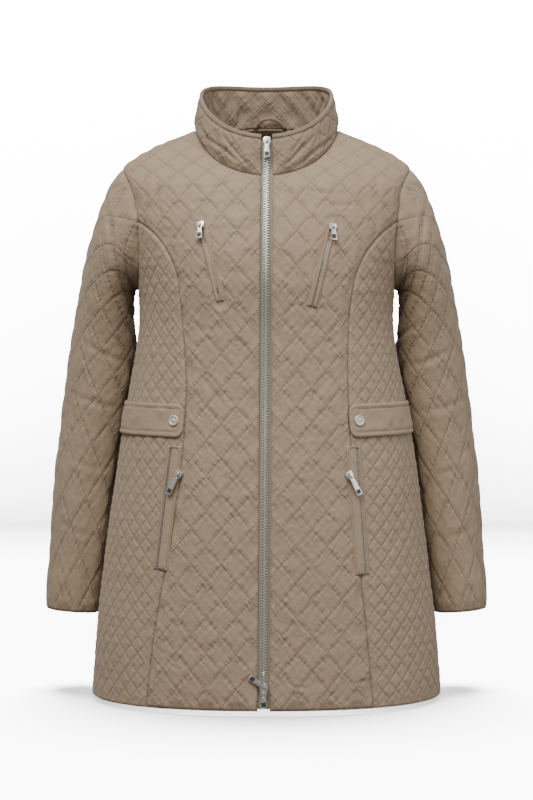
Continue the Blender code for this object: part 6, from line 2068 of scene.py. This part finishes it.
class COAT_OT_hardware(bpy.types.Operator):
    """Build the sliders and the pull tabs that turn on them"""
    bl_idname = "coat.hardware"
    bl_label = "Sliders and pulls"

    def execute(self, context):
        finishes = materials_of(settings_of(context))
        for name in SLIDERS:
            item = refined(f"{name}_cast", bpy.data.objects[name], 0.0004, [finishes["nickel"]])
            finish_piece(item, (name,))
        for name in PULLS:
            finish_piece(pull_object(name, finishes), (name,), f"{name}_body")
        return {"FINISHED"}


class COAT_OT_stitches(bpy.types.Operator):
    """Sew the rows of topstitching"""
    bl_idname = "coat.stitches"
    bl_label = "Topstitching"

    def execute(self, context):
        finishes = materials_of(settings_of(context))
        rows = []
        for side in (-1, 1):
            centre, _ = panels_of(side)
            for number, distance in TOPSTITCH_ROWS:
                flat = centre.row(number, distance)[4:-4]
                positions = centre.outer(flat)
                place = centre.pattern.place(flat[:, 0], flat[:, 1])
                normals = body_normal(*place)
                rows.append(stitch_row(f"row_{side}_{number}_{round(distance * 1e4)}", positions, normals,
                                       finishes["thread"], number))
            rows.append(tab_stitches(side, finishes["thread"]))
            for line, half in ((CHEST_WELT[side], CHEST_WELT_HALF), (POCKET_WELT[side], POCKET_WELT_HALF)):
                rows.append(welt_stitches(side, line, half, finishes["thread"]))
                rows.extend(bar_tacks(side, line, half, finishes["thread"]))
            rows.append(collar_end_stitches(side, finishes["thread"]))
        finish_piece(united("topstitching", rows))
        return {"FINISHED"}


# ---------------------------------------------------------------- sizes and lights of the stage
FLOOR_GAP = 0.0065         # from the hem down to the paper
FLOOR_FRONT, FLOOR_BACK = -4.0, 3.2
FLOOR_HALF_WIDTH = 6.0
BEND_RADIUS = 0.6
WALL_TOP = 4.0
LIGHTS_AIM = (0, 0, -0.35)
AREA_LIGHTS = (("key", (-0.6, -1.9, 2.1), 1.8, 1.0),     # place, size, share of the key's power
               ("fill", (2.2, -1.6, 0.4), 2.0, 0.20))
SUN_LIGHTS = (("floor_light", 0.24, 1.1), ("wall_light", -1.54, 1.9))   # tilt, share of floor_light
SUN_PLACE = (0, 0, 3)
SUN_ANGLE = math.radians(26)
SENSOR_WIDTH = 36.0


def linked_lamp(name, kind, power, place, receivers, **values):
    """A lamp that lights one collection only."""
    lamp = bpy.data.lights.new(name, kind)
    lamp.energy = power
    for key, value in values.items():
        setattr(lamp, key, value)
    item = bpy.data.objects.new(name, lamp)
    bpy.context.scene.collection.objects.link(item)
    item.matrix_world = place
    item.light_linking.receiver_collection = receivers


class COAT_OT_stage(bpy.types.Operator):
    """Set the floor, the light and the camera"""
    bl_idname = "coat.stage"
    bl_label = "Stage"

    def execute(self, context):
        settings = settings_of(context)
        scene = context.scene
        low = HEM_DROP + FLOOR_GAP
        bend = [(FLOOR_FRONT, 0.0), (FLOOR_BACK, 0.0)]
        bend += [(FLOOR_BACK + BEND_RADIUS * math.sin(t), BEND_RADIUS - BEND_RADIUS * math.cos(t))
                 for t in np.linspace(0.1, math.pi / 2, 12)]
        bend += [(FLOOR_BACK + BEND_RADIUS, WALL_TOP)]
        points = [(x, y, z - low) for y, z in bend for x in (-FLOOR_HALF_WIDTH, FLOOR_HALF_WIDTH)]
        faces = [(2 * i, 2 * i + 1, 2 * i + 3, 2 * i + 2) for i in range(len(bend) - 1)]
        mesh = bpy.data.meshes.new("floor")
        mesh.from_pydata(points, [], faces)
        mesh.polygons.foreach_set("use_smooth", np.ones(len(faces), bool))
        paper, tree, shader = new_material("studio_paper", {"Roughness": 0.9, "Specular IOR Level": 0.1})
        spot = node(tree, "ShaderNodeTexCoord").outputs["Object"]
        tone = mixed(tree, noise(tree, spot, 3.0, 2.0), colour_of("#F8F8F8"), colour_of("#F5F5F5"))
        tree.links.new(tone, shader.inputs["Base Color"])
        mesh.materials.append(paper)
        floor = bpy.data.objects.new("floor", mesh)
        scene.collection.objects.link(floor)
        floor.visible_diffuse = floor.visible_glossy = False
        world = bpy.data.worlds.new("studio")
        world.use_nodes = True
        tree = world.node_tree
        generated = node(tree, "ShaderNodeTexCoord").outputs["Generated"]
        height = node(tree, "ShaderNodeSeparateXYZ", {0: generated})
        rise = ramp(tree, height.outputs[2], -0.7, 0.5)
        sky = mixed(tree, rise, colour_of("#8A8783"), colour_of("#FFFFFF"))
        background = tree.nodes["Background"]
        tree.links.new(sky, background.inputs[0])
        background.inputs[1].default_value = settings.world_strength
        scene.world = world
        sweep_only = bpy.data.collections.new("floor_only")
        sweep_only.objects.link(floor)
        coat_only = bpy.data.collections.new("coat_only")
        for piece in scene.objects:
            if piece.type == "MESH" and piece is not floor:
                coat_only.objects.link(piece)
        for name, place, size, share in AREA_LIGHTS:
            turn = (Vector(LIGHTS_AIM) - Vector(place)).to_track_quat("-Z", "Y").to_matrix().to_4x4()
            linked_lamp(name, "AREA", settings.key_power * share, Matrix.Translation(place) @ turn,
                        coat_only, size=size)
        for name, tilt, share in SUN_LIGHTS:
            turn = Matrix.Rotation(-tilt, 4, "X")
            linked_lamp(name, "SUN", settings.floor_light * share, Matrix.Translation(SUN_PLACE) @ turn,
                        sweep_only, angle=SUN_ANGLE)
        camera = bpy.data.cameras.new("camera")
        camera.lens, camera.sensor_width, camera.sensor_fit = settings.lens, SENSOR_WIDTH, "AUTO"
        item = bpy.data.objects.new("camera", camera)
        scene.collection.objects.link(item)
        item.matrix_world = (Matrix.Translation((0, -settings.camera_distance, settings.camera_height))
                             @ Matrix.Rotation(math.pi / 2, 4, "X"))
        scene.camera = item
        return {"FINISHED"}


class COAT_PT_panel(bpy.types.Panel):
    """The coat's settings and the steps that build it"""
    bl_label = "Quilted coat"
    bl_idname = "COAT_PT_panel"
    bl_space_type = "VIEW_3D"
    bl_region_type = "UI"
    bl_category = "Coat"

    def draw(self, context):
        settings = settings_of(context)
        for key in CoatSettings.__annotations__:
            self.layout.prop(settings, key)
        for operator in OPERATORS:
            self.layout.operator(operator.bl_idname)


OPERATORS = (COAT_OT_body, COAT_OT_sleeves, COAT_OT_collar, COAT_OT_front_zip, COAT_OT_pockets,
             COAT_OT_tabs, COAT_OT_hardware, COAT_OT_stitches, COAT_OT_stage)


def register():
    """Adds the settings, operators and panel."""
    for kind in (CoatSettings, *OPERATORS, COAT_PT_panel):
        bpy.utils.register_class(kind)
    bpy.types.Scene.coat_settings = bpy.props.PointerProperty(type=CoatSettings)


def unregister():
    """Removes them again."""
    del bpy.types.Scene.coat_settings
    for kind in (COAT_PT_panel, *reversed(OPERATORS), CoatSettings):
        bpy.utils.unregister_class(kind)


def main():
    """Builds the coat."""
    register()
    bpy.ops.coat.body()
    bpy.ops.coat.sleeves()
    bpy.ops.coat.collar()
    bpy.ops.coat.front_zip()
    bpy.ops.coat.pockets()
    bpy.ops.coat.tabs()
    bpy.ops.coat.hardware()
    bpy.ops.coat.stitches()
    bpy.ops.coat.stage()
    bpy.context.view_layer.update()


if __name__ == "__main__":
    main()
